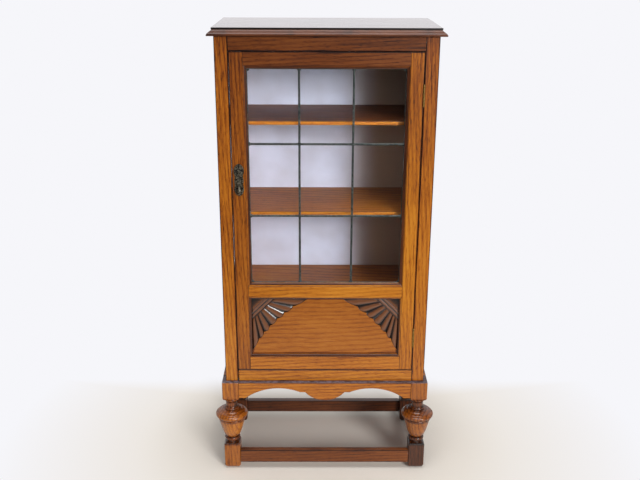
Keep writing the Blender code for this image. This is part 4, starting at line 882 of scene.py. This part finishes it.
@dataclass
class Carcass:
    """The case: sides, floor, back, shelves, face frame and moulded top."""

    face: float = 0.0046
    lip: float = 0.0153
    lip_height: float = 0.0034
    fillet: float = 0.0038
    quirk: float = 0.0008
    lip_round: float = 0.0012
    case_half: float = 0.2670
    ogee_steps: int = 14

    def build(self, work: BoardWork) -> None:
        """Dress the boards of the case and mould its top."""
        work.lay(
            Body.CASE,
            ("case_side_left", VarnishedOak(Tone.AMBER), (70.0, 130.0)),
            ("case_side_right", VarnishedOak(Tone.BROWN), (70.0, 130.0)),
            ("case_floor", VarnishedOak(Tone.BROWN), (60.0, 90.0)),
        )
        # The shelves' tops take dark tones, as painted shade inside the case; their front edges take a
        # lighter tone, as painted light.
        tones = {"shelf_upper": Tone.DEEP, "shelf_middle": Tone.BROWN, "shelf_lower": Tone.BROWN}
        lit_front_oak = VarnishedOak(Tone.HONEY, top_shade=0.0)
        for node, tone in tones.items():
            dull = VarnishedOak(tone, gloss=0.5, polish=0.08, top_shade=0.0, edges=0.0)
            shelf = work.board(Body.CASE, node, dull, (50.0, 30.0), 0.0)
            shelf.data.materials.append(lit_front_oak.material(f"worn_edge_{node}", node, 40, (50.0, 30.0)))
            for face in shelf.data.polygons:
                if face.normal.y < -0.9:
                    face.material_index = 2
        work.lay(
            Body.CASE,
            ("front_stile_left", VarnishedOak(Tone.AMBER), (95.0, 60.0), 0.0),
            ("front_stile_right", VarnishedOak(Tone.AMBER, top_shade=0.25), (95.0, 60.0), 0.0),
            # The top rail takes a dark tone, as painted shade under the top board.
            ("front_top_rail", VarnishedOak(Tone.DEEP, top_shade=0.0), (45.0, 50.0), 0.0),
            ("front_bottom_rail", VarnishedOak(Tone.HONEY), (26.0, 34.0), 0.0),
        )
        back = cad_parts["back_panel"]
        bare = VarnishedOak(Tone.BROWN, ring_mm=14.0, gloss=0.7, polish=0.0, edges=0.0)
        coat(
            back,
            DistemperedBoard().material("distempered_back"),
            bare.material("bare_backboard", "back_panel", 33, (120.0, 60.0)),
        )
        # The outside stays bare.
        sort_faces(back, lambda face: face.normal.y > 0.9)
        self.top()

    def top(self) -> None:
        """Draw the top board up from its lip, moulded on three edges."""
        low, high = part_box("top_board")
        # How far the board stands out from the case, level by level.
        steps = [
            (self.lip - self.lip_round * off, low.z + self.lip_round * up)
            for up, off in quarter_round(3)
        ]
        start, stop = low.z + self.lip_height, high.z - self.fillet
        steps.append((self.lip, start))
        inner, outer = self.face - self.quirk, self.lip - self.quirk
        for i in range(self.ogee_steps + 1):
            share = i / self.ogee_steps
            sway = (1 - math.cos(math.pi * share)) / 2
            steps.append((outer + (inner - outer) * sway, start + (stop - start) * share))
        # The fillet stands out over the ogee, as far as the quirk is deep.
        steps.append((self.face, stop + 0.0001))
        steps += [
            (self.face - self.quirk * off, high.z - self.quirk * down)
            for off, down in quarter_round(3)
        ]
        case_depth = high.y - low.y - self.lip
        sections = [(self.case_half + out, case_depth + out, level) for out, level in steps]
        half, depth, level = sections[0]
        clear()
        bpy.ops.mesh.primitive_plane_add(size=1, location=(0, high.y - depth / 2, level))
        bpy.context.active_object.scale = (2 * half, depth, 1)
        board = started("oak_top_board")
        grip()
        draw_up(sections, high.y)
        smooth(board, 30.0)
        finishes = {
            "polished_oak": VarnishedOak(Tone.DEEP, gloss=0.22, polish=0.9),
            "darker_mould_oak": VarnishedOak(Tone.UMBER, top_shade=0.0),
            "near_black_fillet_oak": VarnishedOak(Tone.UMBER, dark_levels=((0.0, 1.0), (1.0, 1.0))),
        }
        coat(board, *(
            oak.material(f"{word}_top_board", "top_board", 31, (40.0, 55.0))
            for word, oak in finishes.items()
        ))
        # The mould takes a darker tone, and the fillet over it is near black.
        fillet_level = stop - 0.0005
        sort_faces(board, lambda face: (
            0 if face.normal.z >= 0.95 else 2 if face.center.z > fillet_level else 1
        ))
        dress(board, Body.CASE, "top_board")


@dataclass
class CarvedPanel:
    """The door's lower panel, with a fan carved into each upper corner."""

    opening_half: float = 0.2000
    groove_depth: float = 0.0055
    sticking: float = 0.0065
    lap: float = 0.0010
    reach: float = 0.1630
    curve: float = 1.32
    rays: tuple[float, ...] = (0.0, 0.14, 0.29, 0.458, 0.65, 0.796, 0.897, 1.0)
    scallop: float = 0.05
    groove: float = 0.0046
    crest: float = 0.0008
    hub: float = 0.0440
    hub_start: float = 0.0262
    hub_pitch: float = 0.0089
    hub_floor: float = 0.0021
    hub_ridge: float = 0.0018
    tip: float = 0.0015
    tip_depth: float = 0.0006
    across: int = 14
    along: int = 26
    hub_rows: int = 26
    waste: float = 0.006
    # How far the painted shade reaches in from the fans' outer edges.
    shaded: float = 0.0045

    @property
    def corner_x(self) -> float:
        """How far each fan's corner lies from the panel's middle."""
        return self.opening_half - self.sticking + self.lap

    def fan_reach(self, angle: float) -> float:
        """Find how far the fan reaches from its corner, at an angle below the rail."""
        low, high = 0.0, 1.5 * self.reach
        for _ in range(40):
            middle = (low + high) / 2
            a = max(1 - middle * math.cos(angle) / self.reach, 0.0)
            b = max(1 - middle * math.sin(angle) / self.reach, 0.0)
            if a**self.curve + b**self.curve > 1:
                low = middle
            else:
                high = middle
        return low

    def ray_depth(self, share: float, across: float) -> float:
        """Return how deep a ray is cut.

        Args:
            share: How far along the ray, from the hub to its end.
            across: How far across it, from one groove to the next.

        Returns:
            The depth, in metres.
        """
        off = abs(2 * across - 1)
        # The crest bends down over the ray's last tenth.
        nose = 0.0010 * max((share - 0.90) / 0.10, 0.0) ** 2
        crest = self.crest * (1 - 0.45 * share) + nose
        groove = self.groove * (0.60 + 0.40 * share)
        return crest + (groove - crest) * (0.70 * off**2 + 0.30 * off**4)

    def hub_cut(self, row: int) -> Pair:
        """Return how far from the corner a row of the hub lies, and how deep."""
        if not row:
            return self.tip, self.tip_depth
        chord = self.hub_start + (self.hub - self.hub_start) * (row - 1) / (self.hub_rows - 1)
        if row == 1:
            return chord, self.tip_depth
        wave = (1 - math.cos(2 * math.pi * (chord - self.hub_start) / self.hub_pitch)) / 2
        return chord, self.hub_floor - self.hub_ridge * wave

    def fan(
        self, side: int, corner_z: float, face_y: float, stain: bpy.types.Material
    ) -> bpy.types.Object:
        """Make the waste of one fan, from a grid laid out in rays.

        Args:
            side: -1 for the left fan, 1 for the right.
            corner_z: The level of the fan's corner.
            face_y: Where the panel's face lies.
            stain: The material that the cut faces take.

        Returns:
            The waste, a solid that stands out of the panel's face.
        """
        columns = (len(self.rays) - 1) * self.across
        rows = self.hub_rows + self.along
        clear()
        bpy.ops.mesh.primitive_grid_add(x_subdivisions=columns, y_subdivisions=rows, size=1)
        sheet = started("fan_waste")
        for point in sheet.data.vertices:
            column = round((point.co.x + 0.5) * columns)
            row = round((point.co.y + 0.5) * rows)
            ray = min(column // self.across, len(self.rays) - 2)
            share = column / self.across - ray
            angle = math.pi / 2 * (self.rays[ray] + (self.rays[ray + 1] - self.rays[ray]) * share)
            slant = math.cos(angle - math.pi / 4)
            if row <= self.hub_rows:
                chord, depth = self.hub_cut(row)
                distance = chord / slant
            else:
                far = self.fan_reach(angle) * (1 - self.scallop * abs(2 * share - 1) ** 2)
                part = (row - self.hub_rows) / self.along
                distance = self.hub / slant + (far - self.hub / slant) * part
                # The rays start from the floor of the hub's last groove.
                start = min(part / 0.08, 1.0)
                depth = self.ray_depth(part, share) * start + self.hub_floor * (1 - start)
            x = self.corner_x - distance * math.cos(angle)
            point.co = (side * x, face_y + depth, corner_z - distance * math.sin(angle))
        grip()
        extrude((0, -self.waste, 0))
        close()
        coat(sheet, stain)
        return sheet

    def build(self) -> None:
        """Carve both fans, stain them and dress the panel."""
        low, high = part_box("door_panel")
        corner_z = high.z - self.groove_depth - self.sticking + self.lap
        half = Vector((
            self.opening_half - self.sticking, (high.y - low.y) / 2, corner_z - (low.z + high.z) / 2
        ))
        quiet = VarnishedOak(
            Tone.BROWN,
            ring_mm=12.0,
            sway_mm=26.0,
            fibre_mm=(1.8, 26.0),
            pore_mm=(1.3, 9.0),
            streak_mm=(3.0, 50.0),
            # A wide painted shade along the panel's edges, under the frame's moulding.
            joint_shade_mm=7.0,
            contrast=0.45,
            top_shade=0.20,
        )
        oak = quiet.material("fielded_oak_panel", "door_panel", 3, (8.0, 42.0), half)
        stain = CarverStain().material("stained_carving")
        panel = block("oak_door_panel", low, high)
        coat(panel, oak, stain)
        for side in (-1, 1):
            cut(panel, [self.fan(side, corner_z, low.y, stain)])
        # The stain is darkest where the carving is deep; along the fans' outer edges, under the frame,
        # painted shade darkens it.
        depth_and_shade = panel.data.attributes.new("depth_and_shade", "FLOAT", "POINT")
        for point in panel.data.vertices:
            level = 0.0
            if low.y + TINY < point.co.y < low.y + 0.005:
                rim = min(corner_z - point.co.z, self.corner_x - abs(point.co.x))
                level = max((point.co.y - low.y) / self.groove, 1.2 - rim / self.shaded)
            depth_and_shade.data[point.index].value = min(level, 1.0)
        smooth(panel, 32.0)
        dress(panel, Body.DOOR, "door_panel")


@dataclass
class LeadedLight:
    """Nine panes in lead cames with soldered joints."""

    came: float = 0.0056
    domed: float = 0.0018
    border: float = 0.0098
    solder: float = 0.0050
    solder_flatness: float = 0.56

    def build(self) -> None:
        """Lay the cames, solder the joints and glaze the panes."""
        low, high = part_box("lead_cames")
        names = [f"pane_{row}_{column}" for row in (1, 2, 3) for column in (1, 2, 3)]
        panes = [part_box(name) for name in names]
        xs = [(panes[0][1].x + panes[1][0].x) / 2, (panes[1][1].x + panes[2][0].x) / 2]
        zs = [(panes[0][0].z + panes[3][1].z) / 2, (panes[3][0].z + panes[6][1].z) / 2]
        half = self.came / 2
        spans = [
            (low.x, low.z, low.x + self.border, high.z),
            (high.x - self.border, low.z, high.x, high.z),
            (low.x, low.z, high.x, low.z + self.border),
            (low.x, high.z - self.border, high.x, high.z),
        ]
        spans += [(x - half, low.z, x + half, high.z) for x in xs]
        spans += [(low.x, z - half, high.x, z + half) for z in zs]
        strips = [
            block("came", (left, low.y, bottom), (right, high.y, top))
            for left, bottom, right, top in spans
        ]
        for strip in strips:
            length_axis = 0 if strip.dimensions.x > strip.dimensions.z else 2
            round_edges(strip, runs(length_axis, 0.1), self.domed, 4)
        blobs = []
        for x in [low.x + self.border, *xs, high.x - self.border]:
            for z in [low.z + self.border, *zs, high.z - self.border]:
                clear()
                bpy.ops.mesh.primitive_uv_sphere_add(
                    segments=16,
                    ring_count=8,
                    radius=self.solder,
                    location=(x, (low.y + high.y) / 2, z),
                    scale=(1.0, self.solder_flatness, 1.0),
                )
                blobs.append(started("solder"))
        cames = join("lead_came_grid", strips + blobs)
        smooth(cames, 50.0)
        coat(cames, WornMetal("#5A615F", "#2F3433", 0.42, 0.55, 5.0).material("milled_lead"))
        dress(cames, Body.DOOR, "lead_cames")
        glass = DrawnGlass().material("drawn_sheet_glass")
        for name in names:
            coat(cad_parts[name], glass)


def build_door(work: BoardWork) -> None:
    """Dress the door's frame, its panel, its light and its glazing beads."""
    work.lay(
        Body.DOOR,
        ("door_stile_left", VarnishedOak(Tone.BROWN), (85.0, 50.0), 0.0004),
        ("door_stile_right", VarnishedOak(Tone.HONEY), (85.0, 50.0), 0.0004),
        # The top rail takes a dark tone, as painted shade under the case's top.
        ("door_top_rail", VarnishedOak(Tone.DEEP, top_shade=0.0), (40.0, 60.0), 0.0004),
        ("door_mid_rail", VarnishedOak(Tone.HONEY), (36.0, 40.0), 0.0004),
        ("door_bottom_rail", VarnishedOak(Tone.AMBER), (30.0, 44.0), 0.0004),
    )
    for word in ("top", "bottom", "left", "right"):
        work.board(Body.DOOR, f"glazing_bead_{word}", VarnishedOak(Tone.BROWN), (60.0, 30.0), 0.0)
    CarvedPanel().build()
    LeadedLight().build()


@dataclass
class ButtHinge:
    """One brass butt: two leaves with their knuckles, a pin and screws."""

    name: str
    length: float = 0.0510
    barrel: float = 0.0026
    pin: float = 0.0013
    tip: float = 0.0016
    leaf: float = 0.0012
    knuckles: int = 5
    gap: float = 0.0003
    screw: float = 0.0024
    slot_half: float = 0.0003
    # How far the plates start behind the barrel, and the screws' play in their holes.
    set_back: float = 0.0003
    screw_play: float = 0.0001
    arris: float = 0.0002
    tip_flat: float = 0.0006

    def leaf_piece(
        self, word: str, first: int, side: int, body: Body, brass: bpy.types.Material
    ) -> None:
        """Make one leaf.

        Args:
            word: What the leaf hangs on, as in the CAD node's name.
            first: Its lowest knuckle; it has every second one from there.
            side: 1 for the case's leaf, -1 for the door's.
            body: The body it rides on.
            brass: Its material.
        """
        node = f"{self.name}_{word}_leaf"
        pin_low, pin_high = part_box(f"{self.name}_pin")
        axis = (pin_low + pin_high) / 2
        low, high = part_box(node)
        outer = high.x if side > 0 else low.x
        near, far = sorted((outer, outer - side * self.leaf))
        front = axis.y + self.barrel + self.set_back
        middle_y = (front + high.y) / 2
        levels = [low.z + self.length * share for share in (0.2, 0.5, 0.8)]
        plate = block(node + "_plate", (near, front, low.z), (far, high.y, high.z))
        cut(plate, [
            rod("hole", (outer, middle_y, level), self.screw, 4 * self.leaf, "X") for level in levels
        ])
        parts = [plate]
        pitch = self.length / self.knuckles
        height = pitch - self.gap
        for index in range(first, self.knuckles, 2):
            bottom = low.z + index * pitch + self.gap / 2
            middle = (axis.x, axis.y, bottom + height / 2)
            knuckle = rod("knuckle", middle, self.barrel, height, "Z", 32)
            round_edges(knuckle, rims(2), self.arris, 2)
            web = block("web", (near, axis.y, bottom), (far, front + MM, bottom + height))
            parts += [knuckle, web]
        x = outer - side * self.leaf * 0.62
        for level in levels:
            radius = self.screw - self.screw_play
            head = rod("screw", (x, middle_y, level), radius, self.leaf * 0.7, "X")
            cut(head, [block(
                "slot",
                (x - 2 * self.leaf, middle_y - self.slot_half, level - self.screw),
                (x + 2 * self.leaf, middle_y + self.slot_half, level + self.screw),
            )])
            parts.append(head)
        leaf = join(f"brass_{node}", parts)
        smooth(leaf)
        coat(leaf, brass)
        dress(leaf, body, node)

    def build(self, brass: bpy.types.Material) -> None:
        """Make both leaves and the pin with its button tips."""
        self.leaf_piece("case", 0, 1, Body.CASE, brass)
        self.leaf_piece("door", 1, -1, Body.DOOR, brass)
        node = f"{self.name}_pin"
        low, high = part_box(node)
        middle = (low + high) / 2
        rings = [(self.tip_flat, 0.0)]
        rings += [
            (self.barrel * (0.2 + 0.8 * (1 - off)), self.tip * up) for up, off in quarter_round(6)[1:]
        ]
        rings.append((self.pin, self.tip + 0.00002))
        span = high.z - low.z
        rings += [(radius, span - level) for radius, level in reversed(rings)]
        turned("pin", rings, 32)
        pin = placed(f"brass_{node}", (middle.x, middle.y, low.z))
        smooth(pin, 40.0)
        coat(pin, brass)
        dress(pin, Body.CASE, node)


def rounded(knots: Sequence[Pair], steps: int) -> list[Pair]:
    """Round a line of knots, with this many steps between two of them."""
    points = []
    last = len(knots) - 1
    for i in range(last):
        b, s, e, a = knots[max(i - 1, 0)], knots[i], knots[i + 1], knots[min(i + 2, last)]
        for step in range(steps):
            t = step / steps
            points.append(tuple(
                (2 * s[k] + (e[k] - b[k]) * t + (2 * b[k] - 5 * s[k] + 4 * e[k] - a[k]) * t**2
                 + (3 * s[k] - b[k] - 3 * e[k] + a[k]) * t**3) / 2
                for k in (0, 1)
            ))
    return points + [knots[-1]]


@dataclass
class KeyPlate:
    """The pierced plate over the keyhole, its drop pull and the lock."""

    height: float = 0.0820
    half_width: float = 0.0124
    thickness: float = 0.0018
    # Half the plate's outline from the top down, as shares of its size.
    outline: tuple[Pair, ...] = (
        (0.00, 1.00), (0.26, 0.99), (0.50, 0.965), (0.72, 0.925), (0.90, 0.875), (1.00, 0.80),
        (0.98, 0.725), (0.86, 0.665), (0.80, 0.60), (0.88, 0.53), (0.94, 0.46), (0.86, 0.395),
        (0.84, 0.33), (0.92, 0.265), (0.96, 0.19), (0.84, 0.12), (0.62, 0.055), (0.32, 0.015),
        (0.00, 0.00),
    )
    # The piercings' places and radii, as shares of the same size.
    holes: tuple[tuple[float, float, float], ...] = (
        (0.00, 0.90, 0.17), (0.52, 0.795, 0.26), (0.50, 0.515, 0.20), (0.50, 0.235, 0.26),
        (0.42, 0.105, 0.16),
    )
    hole_floor: float = 0.0003
    drill: float = 0.01
    key_radius: float = 0.0017
    keyway_half: float = 0.0009
    keyway_height: float = 0.0055
    # The drop's radii and levels, as shares of its radius and length.
    drop: tuple[Pair, ...] = (
        (0.30, 0.0), (0.30, 0.16), (0.55, 0.22), (0.34, 0.29), (0.55, 0.42), (0.88, 0.60),
        (1.00, 0.74), (0.86, 0.87), (0.52, 0.95), (0.20, 1.0),
    )
    drop_length: float = 0.0290
    drop_radius: float = 0.0050
    flatness: float = 0.62
    lock_z: float = 0.8434
    pivot_drop: float = 0.0200
    lug_radius: float = 0.0022
    lug_thickness: float = 0.0018
    lug_offset: float = 0.0036
    # The radius and the length of the drop's eye, and of the trunnion through it.
    eye: Pair = (0.0021, 0.0048)
    trunnion: Pair = (0.0009, 0.0090)
    arris: float = 0.0003

    def tools(self, middle_x: float, low: Vector, high: Vector) -> list[bpy.types.Object]:
        """Make the drills for the keyhole and the blind piercings."""
        front, reach = high.y - self.thickness, self.drill / 2
        drills = [rod("keyhole", (middle_x, front, self.lock_z), self.key_radius, self.drill, "Y")]
        drills.append(block(
            "keyway",
            (middle_x - self.keyway_half, front - reach, self.lock_z - self.keyway_height),
            (middle_x + self.keyway_half, front + reach, self.lock_z),
        ))
        for across, up, radius in self.holes:
            for side in (-1, 1) if across else (1,):
                x = middle_x + side * across * self.half_width
                place = (x, high.y - self.hole_floor - reach, low.z + up * self.height)
                drills.append(rod("piercing", place, radius * self.half_width, self.drill, "Y"))
        return drills

    def plate(self, metal: bpy.types.Material) -> None:
        """Cut the plate from its outline, pierce it and stand its lugs."""
        low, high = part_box("escutcheon")
        middle_x = (low.x + high.x) / 2
        right = rounded(self.outline, 5)
        line = right + [(-x, z) for x, z in reversed(right[1:-1])]
        clear()
        bpy.ops.mesh.primitive_circle_add(vertices=len(line), radius=1, fill_type="NGON")
        plate = started("key_plate")
        for point, (x, z) in zip(plate.data.vertices, line):
            point.co = (middle_x + x * self.half_width, high.y, low.z + z * self.height)
        grip()
        extrude((0, -self.thickness, 0))
        close()
        cut(plate, self.tools(middle_x, low, high))
        front = high.y - self.thickness
        round_edges(plate, lambda a, b: max(a.y, b.y) < front + TINY, 0.0005, 3)
        pull_low, pull_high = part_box("drop_pull")
        pivot = Vector((middle_x, (pull_low.y + pull_high.y) / 2, self.lock_z - self.pivot_drop))
        parts = [plate]
        for side in (-1, 1):
            x, half = middle_x + side * self.lug_offset, self.lug_thickness / 2
            lug = rod("lug", (x, pivot.y, pivot.z), self.lug_radius, self.lug_thickness, "X")
            round_edges(lug, rims(0), self.arris, 2)
            foot = block(
                "foot",
                (x - half, pivot.y, pivot.z - self.lug_radius),
                (x + half, front + MM, pivot.z + self.lug_radius),
            )
            round_edges(foot, runs(1, 0.002), self.arris, 2)
            parts += [lug, foot]
        whole = join("bronze_key_plate", parts)
        smooth(whole)
        coat(whole, metal, WornMetal("#15110C", "#080605", 0.8, 0.0).material("painted_hole_shade"))
        # The piercings' floors, which lie inside the plate, are painted near black, as painted shade in
        # the holes.
        sort_faces(
            whole, lambda face: face.normal.y < -0.9 and high.y - MM < face.center.y < high.y
        )
        dress(whole, Body.DOOR, "escutcheon")

    def pull(self, metal: bpy.types.Material) -> None:
        """Turn the drop, flatten it and hang it on its trunnion."""
        low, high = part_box("drop_pull")
        centre = (low + high) / 2
        shape = rounded(self.drop, 4)
        profile = [(r * self.drop_radius, -d * self.drop_length) for r, d in reversed(shape)]
        drop = turned("drop", profile, 40)
        grip()
        bpy.ops.transform.resize(value=(1, self.flatness, 1), center_override=(0, 0, 0))
        bpy.ops.object.mode_set(mode="OBJECT")
        eye = rod("eye", (0, 0, 0), *self.eye, "X", 28)
        round_edges(eye, rims(0), self.arris, 2)
        trunnion = rod("trunnion", (0, 0, 0), *self.trunnion, "X", 20)
        join("drop", [drop, eye, trunnion])
        hung = placed("bronze_drop_pull", (centre.x, centre.y, self.lock_z - self.pivot_drop))
        smooth(hung, 40.0)
        coat(hung, metal)
        dress(hung, Body.PULL, "drop_pull")

    def build(self) -> None:
        """Make the plate and the pull, and finish the lock's own pieces."""
        bronze = WornMetal("#A9A18B", "#101111", 0.36, 0.85, 3.0, 0.5, 0.72).material("patinated_bronze")
        self.plate(bronze)
        self.pull(bronze)
        steel = WornMetal("#8B8986", "#55504B", 0.42, 1.0, 6.0).material("dull_steel")
        brass = WornMetal("#B8924F", "#7C5F32", 0.38, 1.0, 3.0).material("bolt_brass")
        for node, metal in (("lock_case", steel), ("lock_bolt", brass)):
            coat(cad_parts[node], metal)


@dataclass
class Studio:
    """The pale floor, the soft lamps and the camera of the photograph."""

    floor_size: float = 24.0
    floor_shades: tuple[str, str] = ("#F2EBE1", "#EBE3D8")
    dim_shade: str = "#4A423B"
    backdrop: str = "#F6F6FA"
    # Where the floor turns white to the eye, and where it turns dim to the lamps.
    whitens: Pair = (0.24, 0.56)
    darkens: Pair = (0.80, 1.50)
    behind: Pair = (0.13, 0.40)
    eye: tuple[float, float, float] = (-0.0268, -2.1430, 1.3825)
    pitch: float = 19.41
    yaw: float = 0.35
    roll: float = 0.23
    focal: float = 838.0
    sensor: float = 36.0
    picture: float = 640.0
    aim: tuple[float, float, float] = (0.0, 0.0, 0.65)

    def looking(self, nodes: Nodes, paths: bpy.types.bpy_prop_collection) -> Socket:
        """Find the rays that look straight at the background, or at it through glass.

        Args:
            nodes: The nodes of the floor or the world.
            paths: The outputs of its light path node.

        Returns:
            The socket that is one for such a ray.
        """
        bounces = nodes.math("ADD", paths["Diffuse Depth"], paths["Glossy Depth"])
        straight = nodes.math("LESS_THAN", bounces, 0.5)
        through = nodes.math("MULTIPLY", straight, paths["Is Transmission Ray"])
        return nodes.math("MAXIMUM", through, paths["Is Camera Ray"])

    def floor(self) -> None:
        """Lay a pale floor that fades into the white background."""
        clear()
        bpy.ops.mesh.primitive_plane_add(size=self.floor_size, location=(0, 0, 0))
        floor = started("floor")
        material, nodes = new_material("pale_floor")
        coords = nodes.coords()
        first, second = self.floor_shades
        colour = nodes.ramp(nodes.noise(coords, 2.5, 3.0), [(0.3, first), (0.7, second)])
        near = nodes.add("BsdfPrincipled", {"Base Color": colour, "Roughness": 0.75})[0]
        dim = nodes.add("BsdfDiffuse", {"Color": linear(self.dim_shade)})[0]
        reach = nodes.vector("LENGTH", coords)
        behind = nodes.ease(nodes.along("Y"), *self.behind)
        far = nodes.math("MAXIMUM", reach, behind)
        haze = nodes.ramp(far, [(0.35, "#E9E1D6"), (0.95, self.backdrop)])
        white = nodes.add("Emission", {"Color": haze})[0]
        whitened = nodes.math("MAXIMUM", nodes.ease(reach, *self.whitens), behind)
        looking = self.looking(nodes, nodes.add("LightPath", {}))
        room = nodes.mix(nodes.ease(reach, *self.darkens), near, dim)
        nodes.show(nodes.mix(nodes.math("MULTIPLY", looking, whitened), room, white))
        coat(floor, material)

    def lamps(self) -> None:
        """Hang a key lamp at the front right, a soft fill, a crown and a pale world."""
        world = bpy.data.worlds.new("studio")
        bpy.context.scene.world = world
        nodes = Nodes(world)
        paths = nodes.add("LightPath", {})
        facing = nodes.add("TexCoord", {})["Generated"]
        ahead = nodes.add("SeparateXYZ", {0: facing})["Y"]
        # The varnish mirrors a bright wall behind the piece and a dim room in front of it.
        mirrored = nodes.ease(ahead, -0.2, 0.4, 0.12)
        strength = nodes.math("MAXIMUM", mirrored, self.looking(nodes, paths))
        seen = nodes.math("MAXIMUM", paths["Is Camera Ray"], paths["Is Glossy Ray"])
        seen = nodes.math("MAXIMUM", seen, paths["Is Transmission Ray"])
        lit = nodes.add("Background", {"Color": linear("#F2F4F8"), "Strength": 0.17})[0]
        white = nodes.add("Background", {"Color": linear(self.backdrop), "Strength": strength})[0]
        nodes.show(nodes.mix(seen, lit, white), "World")
        for name, place, size, power in (
            ("key", (2.25, -4.25, 2.15), 1.50, 200.0),
            ("fill", (-3.2, -3.9, 1.6), 2.2, 16.0),
            ("crown", (0.1, -0.9, 4.2), 2.4, 84.0),
        ):
            lamp = bpy.data.lights.new(name, "AREA")
            lamp.size = size
            lamp.energy = power
            thing = bpy.data.objects.new(name, lamp)
            bpy.context.scene.collection.objects.link(thing)
            thing.location = place
            aim = Vector(self.aim) - Vector(place)
            thing.rotation_euler = aim.to_track_quat("-Z", "Y").to_euler()

    def camera(self) -> None:
        """Set the camera where the photograph was taken from."""
        tilt, turn, lean = (math.radians(v) for v in (self.pitch, self.yaw, self.roll))
        ahead = Vector((
            math.sin(turn) * math.cos(tilt), math.cos(turn) * math.cos(tilt), -math.sin(tilt)
        ))
        right = Vector((math.cos(turn), -math.sin(turn), 0.0))
        up = right.cross(ahead)
        side = math.cos(lean) * right + math.sin(lean) * up
        top = -math.sin(lean) * right + math.cos(lean) * up
        data = bpy.data.cameras.new("camera")
        data.sensor_width = self.sensor
        data.lens = self.focal * self.sensor / self.picture
        thing = bpy.data.objects.new("camera", data)
        bpy.context.scene.collection.objects.link(thing)
        matrix = Matrix((side, top, -ahead)).transposed().to_4x4()
        matrix.translation = Vector(self.eye)
        thing.matrix_world = matrix
        bpy.context.scene.camera = thing

    def build(self) -> None:
        """Set up the whole studio."""
        self.camera()
        self.floor()
        self.lamps()
        bpy.context.scene.view_settings.view_transform = "Standard"


def main() -> None:
    """Build the sub-assemblies in order."""
    logging.basicConfig(level=logging.INFO, format="%(name)s %(message)s")
    Studio().build()
    work = BoardWork()
    TurnedStand().build(work)
    Carcass().build(work)
    build_door(work)
    brass = WornMetal("#C9A65E", "#6E5230", 0.40, 1.0, 2.0).material("tarnished_brass")
    for name in ("hinge_upper", "hinge_lower"):
        ButtHinge(name).build(brass)
    KeyPlate().build()
    clear()


if __name__ == "__main__":
    main()
